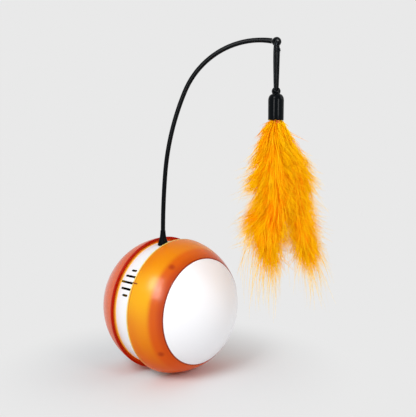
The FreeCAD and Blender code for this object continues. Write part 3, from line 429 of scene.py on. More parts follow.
def cord_curve(name, points, radius):
    """A round cord. Its points carry the thickness, so that its bounding box stays true."""
    curve = bpy.data.curves.new(name, "CURVE")
    curve.dimensions = "3D"
    curve.bevel_depth = 1.0
    curve.bevel_resolution = 5
    curve.resolution_u = 16
    curve.use_fill_caps = True
    spline = curve.splines.new("NURBS")
    spline.points.add(len(points) - 1)
    for point, spot in zip(spline.points, points):
        point.co = (*spot, 1.0)
        point.radius = radius
    spline.order_u = 3
    spline.use_endpoint_u = True
    return linked(name, curve)


tether_points = [EYE @ (Vector(spot) * MM) for spot in TETHER_ROUTE]
tether = cord_curve("tether_cord", tether_points, CORD_RADIUS)
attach(tether, "tether")
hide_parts("tether_loop")
print("eye at", in_mm(EYE.translation))

# %% [markdown]
# ### The knot
#
# The loop's two ends meet in a small overhand knot just under the eye. From outside such a knot
# looks like a short coil, so a strand winds two and a half times round the cord, widest halfway.

# %% Knot
KNOT_SPOT = (0.55, 2.65, -4.05)
KNOT_TURNS = 2.5
KNOT_HEIGHT = 2.0 * MM
STRAND_RADIUS = 0.62 * MM


def knot_line(steps=48):
    centre = EYE @ (Vector(KNOT_SPOT) * MM)
    for step in range(steps + 1):
        share = step / steps
        turn = 2 * math.pi * KNOT_TURNS * share
        reach = (0.3 + 0.35 * math.sin(math.pi * share)) * MM
        rise = (share - 0.5) * KNOT_HEIGHT
        yield centre + Vector((reach * math.cos(turn), reach * math.sin(turn), rise))


knot_spots = list(knot_line())
knot_parts = tube_parts(knot_spots, [STRAND_RADIUS] * len(knot_spots), 12)
knot = new_piece("tether_knot", *knot_parts, "tether", "cord_black")


# %% Braid finish
def braid_finish():
    """Two sets of slanting threads round a thin cord, as small raised diamonds with a painted gleam.
    """
    finish = Finish("black_braid", linear(4, 5, 6), 0.45, Specular_IOR_Level=0.08)
    along, _, up = finish.axes()
    slant, pitch = along * 0.9, 4200
    height = ((up + slant) * pitch).sine() * ((up - slant) * pitch).sine()
    # Painted highlight: the raised tops of the weave are lightened.
    gleam = height.step(0.6, 0.95)
    finish.tint(linear(84, 92, 100), gleam)
    finish.bump(height, 0.1 * MM, 0.5)
    return finish


black_braid = braid_finish()
wear(tether, black_braid)
wear(knot, black_braid)

# %% [markdown]
# ## The wheels' coloured shells
#
# Each shell is a zone of the ball, moulded in clear orange plastic with a satin outside. The mesh is
# the turned wall itself, inside and out.
#
# The white core right behind the wall lights it up to a warm yellow. Past the core's shoulder, near
# the white cap, there is no bright backing and the colour deepens to a red orange. Both effects
# are painted light and shade, set by distance along the axle, so they hold at every turn of the
# wheel. A milder change with height, sunny above the middle and redder at top and foot, is painted
# light and shade that follows the light at rest, and the left wheel's front, turned from the
# light, is painted a deeper orange as shade. The rim glows on the right wheel, where the lamp
# shines through it, a painted light, and stays deep red on the left one. The small marks are
# painted shade: the shadows of the screw bosses behind the wall, a dark line beside the middle
# slot where the slot's dark shows through, and a thin dark line in the groove by the cap. A faint
# orange emission is a painted glow. A thin clear coat, strongest above the middle, carries the
# highlight.


# %% Shell form
def ball_outline(radius, start, end, steps):
    """Points (along, radius) on a ball about the axle, from one distance along it to another."""
    first, last = math.asin(start / radius), math.asin(end / radius)
    turns = [first + (last - first) * step / steps for step in range(steps + 1)]
    return [(radius * math.sin(turn), radius * math.cos(turn)) for turn in turns]


def ball_reach(radius, along):
    """How far from the axle a ball's surface is, at a distance along it."""
    return math.sqrt(radius**2 - along**2)


LEDGE_FACE = SHELL_END - 1.7 * MM
LEDGE_BORE = 23.2 * MM
LEDGE_CHAMFER = 0.2 * MM
EDGE_ROUND = 0.3 * MM
SHELL_SIDES = 192
SIDE_PLACES = {"right": AXLE, "left": AXLE @ Matrix.Rotation(math.pi, 4, "Z")}


def shell_outline():
    """From the rim, out over the ball, round the ledge that the cap sits on, and back inside."""
    inner_radius = BALL_RADIUS - SHELL_WALL
    outside = ball_outline(BALL_RADIUS, RIM_OFFSET + 0.25 * MM, SHELL_END - 0.35 * MM, 28)
    inside = ball_outline(inner_radius, RIM_OFFSET + 0.25 * MM, LEDGE_FACE, 20)
    rim_in = (RIM_OFFSET, ball_reach(inner_radius, RIM_OFFSET) + 0.1 * MM)
    rim_out = (RIM_OFFSET, ball_reach(BALL_RADIUS, RIM_OFFSET) - 0.1 * MM)
    end_radius = ball_reach(BALL_RADIUS, SHELL_END)
    edge = [outside[-1], (SHELL_END, end_radius - 0.15 * MM), (SHELL_END, end_radius - 0.8 * MM)]
    ledge = [
        (SHELL_END, LEDGE_BORE + LEDGE_CHAMFER),
        (SHELL_END - LEDGE_CHAMFER, LEDGE_BORE),
        (LEDGE_FACE + LEDGE_CHAMFER, LEDGE_BORE),
        (LEDGE_FACE, LEDGE_BORE + LEDGE_CHAMFER),
    ]
    outline = rounded([inside[0], rim_in, rim_out, outside[0]], EDGE_ROUND) + outside[1:-1]
    return outline + rounded(edge, EDGE_ROUND) + ledge + inside[::-1]


shells = []
for side, place in SIDE_PLACES.items():
    body = f"wheel_{side}"
    shell = turned(f"shell_skin_{side}", shell_outline(), place, body, "shell_orange", SHELL_SIDES)
    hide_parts(f"wheel_shell_{side}")
    shells.append(shell)


# %% Shell finish
SHELL_CLEAR = 0.3
BOSS_PHASE = 35
BOSS_DEPTH = 22.0 * MM
BOSS_REACH = 34.6 * MM
RIM_RED = linear(188, 10, 0)


def boss_shadows(finish, along, across, up):
    """1 where one of a wheel's four screw bosses stands behind the wall, 0 elsewhere."""
    front = across * along.math("SIGN", along)
    place = finish.add("ShaderNodeCombineXYZ", inputs={"X": along.size(), "Y": front, "Z": up})
    shadows = 0
    for number in range(4):
        turn = math.radians(BOSS_PHASE + 90 * number)
        height = AXLE_HEIGHT + BOSS_REACH * math.cos(turn)
        inputs = {0: place, 1: (BOSS_DEPTH, -BOSS_REACH * math.sin(turn), height)}
        apart = finish.add("ShaderNodeVectorMath", {"operation": "DISTANCE"}, inputs, output=1)
        shadows = shadows + (1 - apart.step(0.6 * MM, 3.0 * MM))
    return shadows


def slot_shade_line(distance, across, up):
    """1 along the short line of painted shade on the shell's edge, beside the middle slot."""
    turn = LEAN + SLOT_ANGLE
    height = up - AXLE_HEIGHT
    aside = across * math.cos(turn) + height * math.sin(turn)
    front = (height * math.cos(turn) - across * math.sin(turn)).step(0, 1 * MM)
    thin = 1 - aside.size().step(0.2 * MM, 0.5 * MM)
    return thin * (1 - distance.step(9.2 * MM, 9.8 * MM)) * front


def zone_colour(finish, distance, up):
    """Painted light and shade: amber over the core, deeper orange past it, brightest halfway up."""
    amber, glow, sun = linear(240, 150, 0), linear(247, 168, 0), linear(255, 200, 0)
    deep, deepest = linear(224, 98, 0), linear(196, 56, 4)
    # Painted shade: the wall turns redder towards the top and the foot.
    top, bottom = linear(242, 124, 0), linear(236, 92, 4)
    sunny = up.step(34 * MM, 52 * MM) * (1 - up.step(56 * MM, 70 * MM))
    colour = finish.blend(amber, glow, distance.step(8 * MM, 15 * MM))
    colour = finish.blend(colour, sun, sunny * 0.7)
    colour = finish.blend(colour, deep, distance.step(17.4 * MM, 21.0 * MM))
    colour = finish.blend(colour, deepest, distance.step(21.6 * MM, 25.2 * MM) * 0.8)
    colour = finish.blend(colour, top, up.step(60 * MM, 80 * MM) * 0.6)
    return finish.blend(bottom, colour, up.step(-2 * MM, 48 * MM))


def rim_colour(finish, colour, distance, up, right):
    """The ring just outside the rim, and the rim's own lip, over the wall's colour."""
    # Painted light: on the right wheel the ring and lip glow, brightest high up.
    ring = finish.blend(RIM_RED, linear(226, 132, 0), right)
    colour = finish.blend(ring, colour, distance.step(7.7 * MM, 8.1 * MM))
    lit_lip = finish.blend(linear(236, 112, 4), linear(255, 236, 130), up.step(6 * MM, 30 * MM))
    lip = finish.blend(RIM_RED, lit_lip, right)
    return finish.blend(lip, colour, distance.step(7.1 * MM, 7.4 * MM))


def shell_finish():
    """Clear orange with painted light: lit from behind by the white core, deeper where it falls away.
    """
    shade, groove, slot_shade_red = linear(164, 40, 0), linear(150, 40, 8), linear(140, 24, 2)
    # The faint orange emission below is a painted glow that lifts the wall's shaded parts.
    finish = Finish(
        "orange_shell",
        shade,
        0.24,
        Transmission_Weight=SHELL_CLEAR,
        IOR=1.4,
        Specular_IOR_Level=0.05,
        Specular_Tint=(1.0, 0.5, 0.2, 1.0),
        Coat_Roughness=0.22,
        Emission_Color=(1.0, 0.2, 0.0, 1.0),
        Emission_Strength=0.03,
    )
    along, across, up = finish.axes()
    distance = along.size()
    right = along.step(-6 * MM, 6 * MM)
    polish = up.step(10 * MM, 50 * MM) * (1 - up.step(56 * MM, 72 * MM) * 0.75)
    finish.feed("Coat Weight", distance.step(7 * MM, 8 * MM) * polish * 0.65)
    # Painted shade: on the left wheel the front, turned from the light, is a deeper orange.
    lit_side = right.larger(across.step(-14 * MM, 20 * MM))
    colour = finish.blend(linear(236, 98, 24), zone_colour(finish, distance, up), lit_side)
    colour = finish.blend(colour, shade, boss_shadows(finish, along, across, up) * 0.8)
    # Painted shade: a thin dark line at the shell's end, in the groove by the cap.
    colour = finish.blend(colour, groove, distance.step(25.5 * MM, 25.7 * MM))
    colour = rim_colour(finish, colour, distance, up, right)
    # Painted shade: the middle slot's dark showing through the right shell's edge.
    line = slot_shade_line(distance, across, up) * right
    finish.feed("Base Color", finish.blend(colour, slot_shade_red, line))
    return finish


orange_shell = shell_finish()
for shell in shells:
    wear(shell, orange_shell)

# %% [markdown]
# ## The white caps
#
# A cap closes each end of the ball. It is a little flatter than the ball itself and meets the
# shell in a fine groove, which shows as a thin dark line, so both edges are rounded and the cap
# stands back by a fifth of a millimetre. The shell's finish paints that line as shade as well.
# Its skin and its lining are two surfaces.

# %% Caps
DOME_EDGE = ball_reach(BALL_RADIUS, SHELL_END) - 0.2 * MM
DOME_CENTRE = (DOME_APEX**2 - SHELL_END**2 - DOME_EDGE**2) / (2 * (DOME_APEX - SHELL_END))
DOME_RADIUS = DOME_APEX - DOME_CENTRE
DOME_WALL = 1.8 * MM


def dome_outlines(steps=30):
    """The cap's outside, from under its edge to the apex, and its inside, back to the start."""
    first = math.asin((SHELL_END + 0.5 * MM - DOME_CENTRE) / DOME_RADIUS)
    turns = [first + (math.pi / 2 - first) * step / steps for step in range(steps + 1)]
    outside = [(DOME_CENTRE + DOME_RADIUS * math.sin(t), DOME_RADIUS * math.cos(t)) for t in turns]
    outside[-1] = (DOME_APEX, 0.0)
    low = SHELL_END + 0.02 * MM
    edge = [(low, DOME_EDGE - 2.6 * MM), (low, DOME_EDGE - 0.1 * MM), outside[0]]
    inner = DOME_RADIUS - DOME_WALL
    inside = [(DOME_CENTRE + inner * math.sin(t), inner * math.cos(t)) for t in turns[::-1]]
    inside[0] = (DOME_APEX - DOME_WALL, 0.0)
    return rounded(edge, 0.4 * MM)[:-1] + outside, inside + [edge[0]]


def cap_finish():
    """White plastic, a little uneven."""
    finish = Finish("white_cap", linear(247, 247, 250), 0.42, Coat_Weight=0.15, Coat_Roughness=0.3)
    finish.bump(finish.noise(1200), 0.01 * MM, 0.1)
    return finish


white_cap = cap_finish()
outside, inside = dome_outlines()
for side, place in SIDE_PLACES.items():
    cap = turned(f"cap_skin_{side}", outside, place, f"wheel_{side}", "dome_white", SHELL_SIDES)
    lining = turned(f"cap_lining_{side}", inside, place, f"wheel_{side}", "dome_white", 96)
    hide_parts(f"wheel_dome_{side}")
    wear(cap, white_cap)
    wear(lining, white_cap)
print(f"cap radius {DOME_RADIUS / MM:.2f} mm")

# %% [markdown]
# ## The core's white band
#
# Between the wheels shows a plain white band, with five round-ended sound slots at the front and,
# behind, the charging mouth and the button. It is turned as one hollow barrel and the openings are
# cut right through its wall, and the wall's inside is painted near black as shade, so that they
# are as dark inside as real ones. By the shells' rims the band has a painted golden glow, for
# light that comes through the shells.

# %% Core form
CORE_WALL = 1.6 * MM


def core_outline():
    outside = [
        (-CORE_END, CORE_END_RADIUS - CORE_WALL),
        (-CORE_END, CORE_END_RADIUS),
        (-BAND_HALF_WIDTH, BAND_RADIUS),
        (BAND_HALF_WIDTH, BAND_RADIUS),
        (CORE_END, CORE_END_RADIUS),
        (CORE_END, CORE_END_RADIUS - CORE_WALL),
    ]
    inside = [
        (BAND_HALF_WIDTH, BAND_RADIUS - CORE_WALL),
        (-BAND_HALF_WIDTH, BAND_RADIUS - CORE_WALL),
        (-CORE_END, CORE_END_RADIUS - CORE_WALL),
    ]
    return rounded(outside, 0.5 * MM) + inside


def pill_cutter(name, length, width, place):
    """A round-ended bar that crosses the band's wall: length along X, depth along Z."""
    half, reach = (length - width) / 2, width / 2
    ring = []
    for centre, start in ((half, -90), (-half, 90)):
        for step in range(13):
            turn = math.radians(start + 180 * step / 12)
            ring.append((centre + reach * math.cos(turn), reach * math.sin(turn)))
    count = len(ring)
    levels = (BAND_RADIUS - 3 * CORE_WALL, BAND_RADIUS + 3 * CORE_WALL)
    vertices = [place @ Vector((x, y, z)) for z in levels for x, y in ring]
    ends = [tuple(range(count)), tuple(range(count, 2 * count))]
    cutter = plain_mesh(name, vertices, sleeve(2, count) + ends)
    face_outward(cutter)
    return cutter


SLOT_LENGTHS = [length * MM for length in (4.4, 9.2, 12.8, 9.2, 4.4)]
SLOT_PITCH = 3.7 * MM
SLOT_HEIGHT = 1.3 * MM
PORT_LENGTH, PORT_HEIGHT = 9.5 * MM, 3.8 * MM
BUTTON_RADIUS = 3.2 * MM
BUTTON_HOLE = 2 * BUTTON_RADIUS + 0.6 * MM
BOARD_OFFSET = 7.5 * MM
BOARD = CORE @ Matrix.Rotation(BOARD_ANGLE, 4, "X")
PORT_PLACE = BOARD @ Matrix.Translation((0, BOARD_OFFSET, 0))
BUTTON_PLACE = BOARD @ Matrix.Translation((0, -BOARD_OFFSET, 0))

core = turned("core_skin", core_outline(), CORE, "core", "core_white", 240)
cutters = []
for index, length in enumerate(SLOT_LENGTHS):
    turn = SLOT_ANGLE + (index - 2) * SLOT_PITCH / BAND_RADIUS
    slot_place = CORE @ Matrix.Rotation(turn, 4, "X")
    cutters.append(pill_cutter(f"slot_cutter_{index}", length, SLOT_HEIGHT, slot_place))
cutters.append(pill_cutter("port_cutter", PORT_LENGTH, PORT_HEIGHT, PORT_PLACE))
cutters.append(pill_cutter("button_cutter", BUTTON_HOLE + 0.001 * MM, BUTTON_HOLE, BUTTON_PLACE))
hollowed(core, cutters)
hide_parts("core_shell")
print("core faces once cut:", len(core.data.polygons))


# %% Core finish
def core_finish():
    """White outside, golden by the shells' rims as painted light come through, with painted shade in
    the slots.
    """
    white, gold, dark = linear(247, 248, 251), linear(255, 206, 90), linear(24, 24, 26)
    finish = Finish("white_band", white, 0.4, Coat_Weight=0.1, Coat_Roughness=0.3)
    along, across, up = finish.axes()
    distance, height = along.size(), up - AXLE_HEIGHT
    square = across * across + height * height
    outside = square.step((BAND_RADIUS - 0.5 * MM) ** 2, (BAND_RADIUS - 0.15 * MM) ** 2)
    outside = outside.larger(distance.step(6.6 * MM, 6.9 * MM))
    # Painted light: a golden colour and glow by the shells' rims, for light that comes through them.
    golden = distance.step(5.6 * MM, 6.2 * MM)
    colour = finish.blend(white, gold, golden)
    # Painted shade: inside the wall, which the slots show, the colour is near black.
    finish.feed("Base Color", finish.blend(dark, colour, outside))
    finish.feed("Emission Color", finish.blend(linear(0, 0, 0), linear(255, 190, 40), golden))
    finish.feed("Emission Strength", 0.2)
    finish.bump(finish.noise(1200), 0.01 * MM, 0.1)
    return finish


white_band = core_finish()
wear(core, white_band)

# %% [markdown]
# ## The button and the charging mouth
#
# Both sit on the side away from the camera. The button is a soft grey disc with a shallow dish and
# a raised ring for the finger to find. The mouth is a plain opening in front of the socket.

# %% Button
BUTTON_TOP = ball_reach(BAND_RADIUS, BOARD_OFFSET - BUTTON_RADIUS) + 0.5 * MM
UPRIGHT = Matrix.Rotation(-math.pi / 2, 4, "Y")


def button_outline():
    side = BUTTON_RADIUS - 0.05 * MM
    ring = [
        (BUTTON_TOP - 6 * MM, side),
        (BUTTON_TOP - 0.05 * MM, side),
        (BUTTON_TOP, BUTTON_RADIUS - 0.9 * MM),
        (BUTTON_TOP - 0.2 * MM, BUTTON_RADIUS - 1.2 * MM),
    ]
    dish = [(BUTTON_TOP - 0.35 * MM, 1.0 * MM), (BUTTON_TOP - 0.37 * MM, 0.0)]
    return rounded(ring, 0.3 * MM) + dish


def button_finish():
    """Soft grey rubber."""
    finish = Finish("soft_grey_button", linear(188, 190, 194), 0.6)
    finish.bump(finish.noise(1500), 0.02 * MM, 0.2)
    return finish


grey_button = button_finish()
button_axis = BUTTON_PLACE @ UPRIGHT
button = turned("button_skin", button_outline(), button_axis, "button", "button_grey", 64)
wear(button, grey_button)

# %% [markdown]
# ## The wand
#
# The wand is a springy black rod. It rises almost straight from a flared rubber boot, bends over in
# one upright plane and ends in a flat eye. The rod follows the same three bends as the part, with
# rings close enough to look round, so that it shines along one thin line.

# %% Rod and eye
ROD_RADIUS = 1.3 * MM
ROD_SWELL = (1.0, 1.03, 1.07, 1.12)
EYE_RADIUS, EYE_BORE, EYE_HALF = 2.5 * MM, 1.05 * MM, 1.1 * MM


def rod_parts(steps=24):
    """The bent rod, which ends just short of the eye's centre and swells into it."""
    line = [WAND @ Vector((0, 0, 0.2 * MM))]
    line += [WAND @ rod_point(step / steps) for step in range(len(BENDS) * steps)]
    radii = [ROD_RADIUS] * (len(line) - len(ROD_SWELL))
    return tube_parts(line, radii + [ROD_RADIUS * factor for factor in ROD_SWELL], 32)


def softened(level, fold=0.55):
    """A level from -1 to 1 drawn out towards its ends, which squares a circle of sines a little."""
    return math.copysign(abs(level) ** fold, level)


def ring_parts(place, inner, outer, half_thickness, sides=64):
    """A flat padded ring about a place's Y axis, its section a soft rectangle."""
    middle, half = (inner + outer) / 2, (outer - inner) / 2
    vertices, steps = [], 20
    for side in around(sides):
        for turn in around(steps):
            reach = middle + half * softened(math.cos(turn))
            depth = half_thickness * softened(math.sin(turn))
            vertices.append(place @ Vector((reach * math.cos(side), depth, reach * math.sin(side))))
    return vertices, sleeve(sides, steps, closed=True)


def rod_finish():
    """Near black, a little uneven, with one thin line of shine."""
    finish = Finish("black_rod", linear(1, 3, 6), 0.2, Specular_IOR_Level=0.09)
    tone = finish.noise(300, 2, (1, 1, 0.15)).step(0.3, 0.7)
    finish.tint(linear(4, 7, 10), tone)
    return finish


rod_and_eye = merged(rod_parts(), ring_parts(EYE, EYE_BORE, EYE_RADIUS, EYE_HALF))
rod = new_piece("rod_skin", *rod_and_eye, "wand", "wand_black")
face_outward(rod)
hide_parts("wand_rod")
black_rod = rod_finish()
wear(rod, black_rod)

# %% [markdown]
# ### The boot
#
# A rubber boot joins the rod to the core: a round foot that follows the band's lean, and a trumpet
# that narrows quickly to the rod.

# %% Boot
FOOT_UNDERSIDE = BAND_RADIUS + 0.05 * MM
PLUG_DEPTH, PLUG_RADIUS = 7 * MM, 2.6 * MM
BOOT_HEIGHT = 7.0 * MM


def foot_outline():
    """The plug that sits in the core, and the round foot over it."""
    plug_end = FOOT_UNDERSIDE - PLUG_DEPTH
    plug = [(plug_end, 0.0), (plug_end, PLUG_RADIUS), (FOOT_UNDERSIDE, PLUG_RADIUS)]
    foot = [(FOOT_UNDERSIDE, 3.25 * MM), (FOOT_TOP, 3.1 * MM), (FOOT_TOP, 0.0)]
    return rounded(plug + foot, 0.35 * MM)


def trumpet_outline(steps=18):
    """Wide at the foot, then closing on the rod in one hollow curve."""
    outline = [(-0.9 * MM, 0.0), (-0.9 * MM, 2.9 * MM)]
    for step in range(steps + 1):
        share = step / steps
        reach = 1.5 + 1.3 * (1 - share) ** 1.9
        outline.append((share * BOOT_HEIGHT, reach * MM))
    end = BOOT_HEIGHT + 0.15 * MM
    return outline + [(end, 1.36 * MM), (end, 0.0)]


def boot_finish():
    """Dull black rubber."""
    finish = Finish("black_rubber", linear(6, 8, 10), 0.45, Specular_IOR_Level=0.04)
    finish.bump(finish.noise(1400), 0.02 * MM, 0.25)
    return finish


foot = turned("boot_foot", foot_outline(), CORE @ UPRIGHT, "wand", "boot_black", 64)
trumpet = turned("boot_trumpet", trumpet_outline(), WAND @ UPRIGHT, "wand", "boot_black", 64)
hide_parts("wand_boot")
black_rubber = boot_finish()
wear(foot, black_rubber)
wear(trumpet, black_rubber)

# %% [markdown]
# ## The lure's cap
#
# A glossy black cap holds the feathers. Its domed shoulder closes to a neck with a flat ring, the
# bail, which the tether runs through. High gloss needs exact outlines, so the shoulder is a true
# quarter ellipse.

# %% Cap and bail
LURE = EYE @ Matrix.Translation((0, 0, -24.4 * MM))
FERRULE_TOP = -3.3 * MM
FERRULE_LOW = -17.5 * MM
FERRULE_RADIUS = 4.3 * MM
FERRULE_BORE = 3.1 * MM
SHOULDER = 3.4 * MM
NECK_RADIUS = 1.9 * MM
NECK_TOP = FERRULE_TOP + 0.5 * MM
BAIL_PLACE = LURE @ Matrix.Translation((0, 0, -1.9 * MM))
BAIL_BORE, BAIL_RADIUS, BAIL_HALF = 1.0 * MM, 2.4 * MM, 0.8 * MM


def ferrule_outline():
    """From the blind bore, round the lip, up the side and over the shoulder to the neck."""
    shoulder = []
    for step in range(13):
        turn = math.pi / 2 * step / 12
        reach = NECK_RADIUS + (FERRULE_RADIUS - NECK_RADIUS) * math.cos(turn)
        shoulder.append((FERRULE_TOP - SHOULDER + SHOULDER * math.sin(turn), reach))
    bore_end = FERRULE_LOW + 3 * MM
    bore = [(bore_end, 0.0), (bore_end, FERRULE_BORE), (FERRULE_LOW, FERRULE_BORE)]
    lip = [(FERRULE_LOW, FERRULE_RADIUS - 0.05 * MM), shoulder[0]]
    neck = [(FERRULE_TOP, NECK_RADIUS), (NECK_TOP, NECK_RADIUS - 0.2 * MM), (NECK_TOP, 0.0)]
    return rounded(bore + lip, 0.25 * MM)[:-1] + shoulder[:-1] + rounded(neck, 0.2 * MM)


def ferrule_finish():
    """Polished black plastic."""
    finish = Finish("black_gloss", linear(1, 4, 7), 0.15, Specular_IOR_Level=0.08)
    finish.bump(finish.noise(500), 0.01 * MM, 0.1)
    return finish


ferrule = turned("ferrule_skin", ferrule_outline(), LURE @ UPRIGHT, "lure", "ferrule_black", 96)
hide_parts("ferrule")
bail_parts = ring_parts(BAIL_PLACE, BAIL_BORE, BAIL_RADIUS, BAIL_HALF)
bail = new_piece("bail_ring", *bail_parts, "lure", "ferrule_black")
face_outward(bail)
black_gloss = ferrule_finish()
wear(ferrule, black_gloss)
wear(bail, black_gloss)

# %% [markdown]
# ## The feathers
#
# The lure is a bundle of marabou plumes: limp quills with long, very fine barbs that fall outwards
# and down. Up close it reads as overlapping locks, each a brush of barbs that share a direction, and
# at the edges single barbs stand free. Two clumps make it up, one right below the cap and one
# that parts to the right. Each clump has an outline of its own: drops below the cap, in
# millimetres, with the left and right edge at each. A lock picks its tip inside that outline, and
# its root above it and nearer the middle, so that barbs fan out as they fall.

# %% Clumps
PLUME_TOP = LURE @ Vector((0, 0, FERRULE_LOW + 0.3 * MM))
PLUME_DEPTH = 1.12
TIERS = (10, 17, 26, 34, 40, 49, 58, 64, 70, 76, 80)
dice = random.Random(7)
SIDEWAYS = (VIEW @ Vector((1, 0, 0))).normalized()
TOWARDS = Vector((SIDEWAYS.y, -SIDEWAYS.x, 0))
LONG_CLUMP = (
    (0, -2.6, 2.6),
    (5, -8.0, 5.0),
    (12, -9.4, 7.0),
    (18, -11.5, 11.0),
    (27, -16.2, 14.0),
    (34, -15.2, 14.0),
    (38, -16.8, 14.0),
    (44, -13.0, 13.0),
    (50, -14.6, 13.0),
    (58, -20.2, 12.0),
    (65, -17.6, 9.5),
    (70, -13.6, 4.6),
    (76, -7.4, 2.2),
    (84, -2.4, 0.8),
)
SIDE_CLUMP = (
    (6, -1.0, 5.0),
    (12, 0.0, 8.0),
    (18, 1.0, 14.0),
    (25, 2.0, 19.6),
    (34, 2.0, 21.2),
    (50, 3.0, 21.2),
    (60, 5.0, 23.4),
    (65, 7.0, 24.8),
    (70, 9.2, 23.6),
    (76, 13.0, 24.4),
    (82, 19.0, 22.0),
)


def edges_at(clump, drop):
    """The left and right edge of a clump at one drop below the cap."""
    for (high, left, right), (low, left_after, right_after) in zip(clump, clump[1:]):
        if drop <= low:
            share = max(drop - high, 0) / (low - high)
            return left + (left_after - left) * share, right + (right_after - right) * share
    return clump[-1][1:]


def plume_spot(clump, drop, across, forward):
    """A point of a clump: across and forward go from -1 to 1 within its outline."""
    left, right = edges_at(clump, drop)
    middle, half = (left + right) / 2, (right - left) / 2
    aside = SIDEWAYS * (middle + half * across) + TOWARDS * (half * PLUME_DEPTH * forward)
    return PLUME_TOP + aside * MM - Vector((0, 0, drop * MM))


print("clumps:", len(LONG_CLUMP), len(SIDE_CLUMP))

# %% [markdown]
# ### Barbs
#
# A barb is a ribbon of a few short quads, a fifth to two fifths of a millimetre wide, that bows
# outwards and narrows to its tip. The ribbons are turned every way, so that the plume looks as full
# from each side. Locks fill the clumps, looser towards the ends. Most are yellow, and up to half
# of those near the middle a deeper orange. Paler strands lie over them, and single barbs stand
# free all round, hair-thin ones at the sides and wisps below the tips. The strands, the hair-thin
# barbs and the wisps share a paler yellow, a painted highlight for fine barbs that catch light.


# %% Barb growth
class Barbs:
    """Ribbons gathered into one mesh."""

    def __init__(self):
        self.vertices = []
        self.faces = []

    def grow(self, root, tip, width, sag, steps=4):
        """A ribbon from root to tip that bows outwards by a share of its length."""
        run = tip - root
        away = (root.lerp(tip, 0.5) - PLUME_TOP).xy.to_3d().normalized()
        aside = run.cross(scatter(1)).normalized()
        for step in range(steps + 1):
            share = step / steps
            bow = away * (run.length * sag * share * (1 - share) * 4)
            half = aside * (width * (1 - share**2) * 0.5 + width * 0.05)
            spot = root.lerp(tip, share) + bow
            first = len(self.vertices)
            self.vertices += [spot + half, spot - half]
            if step < steps:
                self.faces.append((first, first + 1, first + 3, first + 2))


def scatter(size):
    return Vector((dice.gauss(0, size), dice.gauss(0, size), dice.gauss(0, size)))


def skin_spot():
    """A random place in a clump's round section, as across and forward, most near its skin."""
    across = dice.uniform(-1, 1)
    side = dice.choice((-1, 1))
    return across, side * math.sqrt(1 - across**2) * dice.uniform(0.3, 1.0)


def grow_locks(bright, deep, clump, locks, per_lock):
    """Overlapping brushes of barbs that fill a clump's outline, gathered in loose tiers."""
    top, bottom = clump[0][0] + 4, clump[-1][0]
    for _ in range(locks):
        drop = dice.choice(TIERS) + dice.gauss(0, 3.6)
        drop = min(max(drop, top), bottom)
        across, forward = skin_spot()
        fall = dice.uniform(8, 18) * (1 - 0.3 * abs(across))
        start = max(drop - fall, 0.2)
        gather = dice.uniform(0.05, 0.4)
        root = plume_spot(clump, start, across * gather, forward * gather)
        tip = plume_spot(clump, drop, across * 1.04, forward)
        barbs = deep if dice.random() < 0.5 - 0.45 * abs(across) else bright
        loose = max(drop - 50, 0) / 30
        spread = dice.uniform(0.9, 2.6) * (1 + 1.1 * loose) * MM
        for _ in range(round(per_lock * (1 - 0.55 * loose))):
            start_spot = root + scatter(0.5 * MM)
            end_spot = tip + scatter(spread)
            width = dice.uniform(0.18, 0.38) * (1 - 0.3 * loose) * MM
            barbs.grow(start_spot, end_spot, width, dice.uniform(0.0, 0.07))


def grow_strays(barbs, clump, count):
    """Single fine barbs that stand free of the outline."""
    for _ in range(count):
        drop = dice.uniform(14, clump[-1][0])
        across, forward = skin_spot()
        across = softened(across, 0.4)
        root = plume_spot(clump, max(drop - dice.uniform(5, 13), 1), across * 0.3, forward * 0.3)
        tip = plume_spot(clump, drop, across, forward)
        tip += (tip - root).normalized() * dice.uniform(1, 10) * MM + scatter(1.2 * MM)
        barbs.grow(root, tip, dice.uniform(0.1, 0.2) * MM, dice.uniform(0, 0.08), 6)


def grow_strands(barbs, clump, count):
    """Fine pale barbs that lie over the locks, their paleness a painted highlight."""
    for _ in range(count):
        drop = dice.uniform(12, clump[-1][0] - 4)
        across, forward = skin_spot()
        forward = math.copysign(math.sqrt(1 - across**2), forward)
        root = plume_spot(clump, max(drop - dice.uniform(8, 15), 2), across * 0.55, forward * 0.6)
        tip = plume_spot(clump, drop, across, forward) + scatter(1.0 * MM)
        barbs.grow(root, tip, dice.uniform(0.12, 0.22) * MM, dice.uniform(0.04, 0.1), 5)


def grow_long_strays(barbs, clump, count):
    """Long hair-thin barbs that arch out from the sides and droop."""
    for _ in range(count):
        drop = dice.uniform(17, 68)
        across, forward = skin_spot()
        across = softened(across, 0.4)
        root = plume_spot(clump, drop, across * 0.5, forward * 0.5)
        skin = plume_spot(clump, drop, across, forward)
        out = (skin - root).normalized() * dice.uniform(5, 10.5) * MM
        tip = skin + out + Vector((0, 0, -dice.uniform(0, 12) * MM)) + scatter(1.0 * MM)
        barbs.grow(root, tip, dice.uniform(0.1, 0.18) * MM, dice.uniform(0.02, 0.1), 7)


def grow_wisps(barbs, clump, count):
    """Long thin barbs that trail below a clump's tip."""
    low = clump[-1][0]
    for _ in range(count):
        drop = low - dice.uniform(6, 24)
        root = plume_spot(clump, drop, dice.uniform(-0.8, 0.8), dice.uniform(-0.6, 0.6))
        fan = SIDEWAYS * ((root - PLUME_TOP).dot(SIDEWAYS) * dice.uniform(0.1, 0.6))
        tip = root + fan + Vector((0, 0, -dice.uniform(10, 34) * MM)) + scatter(2.0 * MM)
        barbs.grow(root, tip, dice.uniform(0.1, 0.2) * MM, dice.uniform(0, 0.06), 6)


bright_barbs, deep_barbs, pale_barbs = Barbs(), Barbs(), Barbs()
for clump, locks in ((LONG_CLUMP, 460), (SIDE_CLUMP, 320)):
    grow_locks(bright_barbs, deep_barbs, clump, locks, 26)
    grow_strays(bright_barbs, clump, 700)
    grow_strands(pale_barbs, clump, 700)
    grow_long_strays(pale_barbs, clump, 260)
    grow_wisps(pale_barbs, clump, 190)


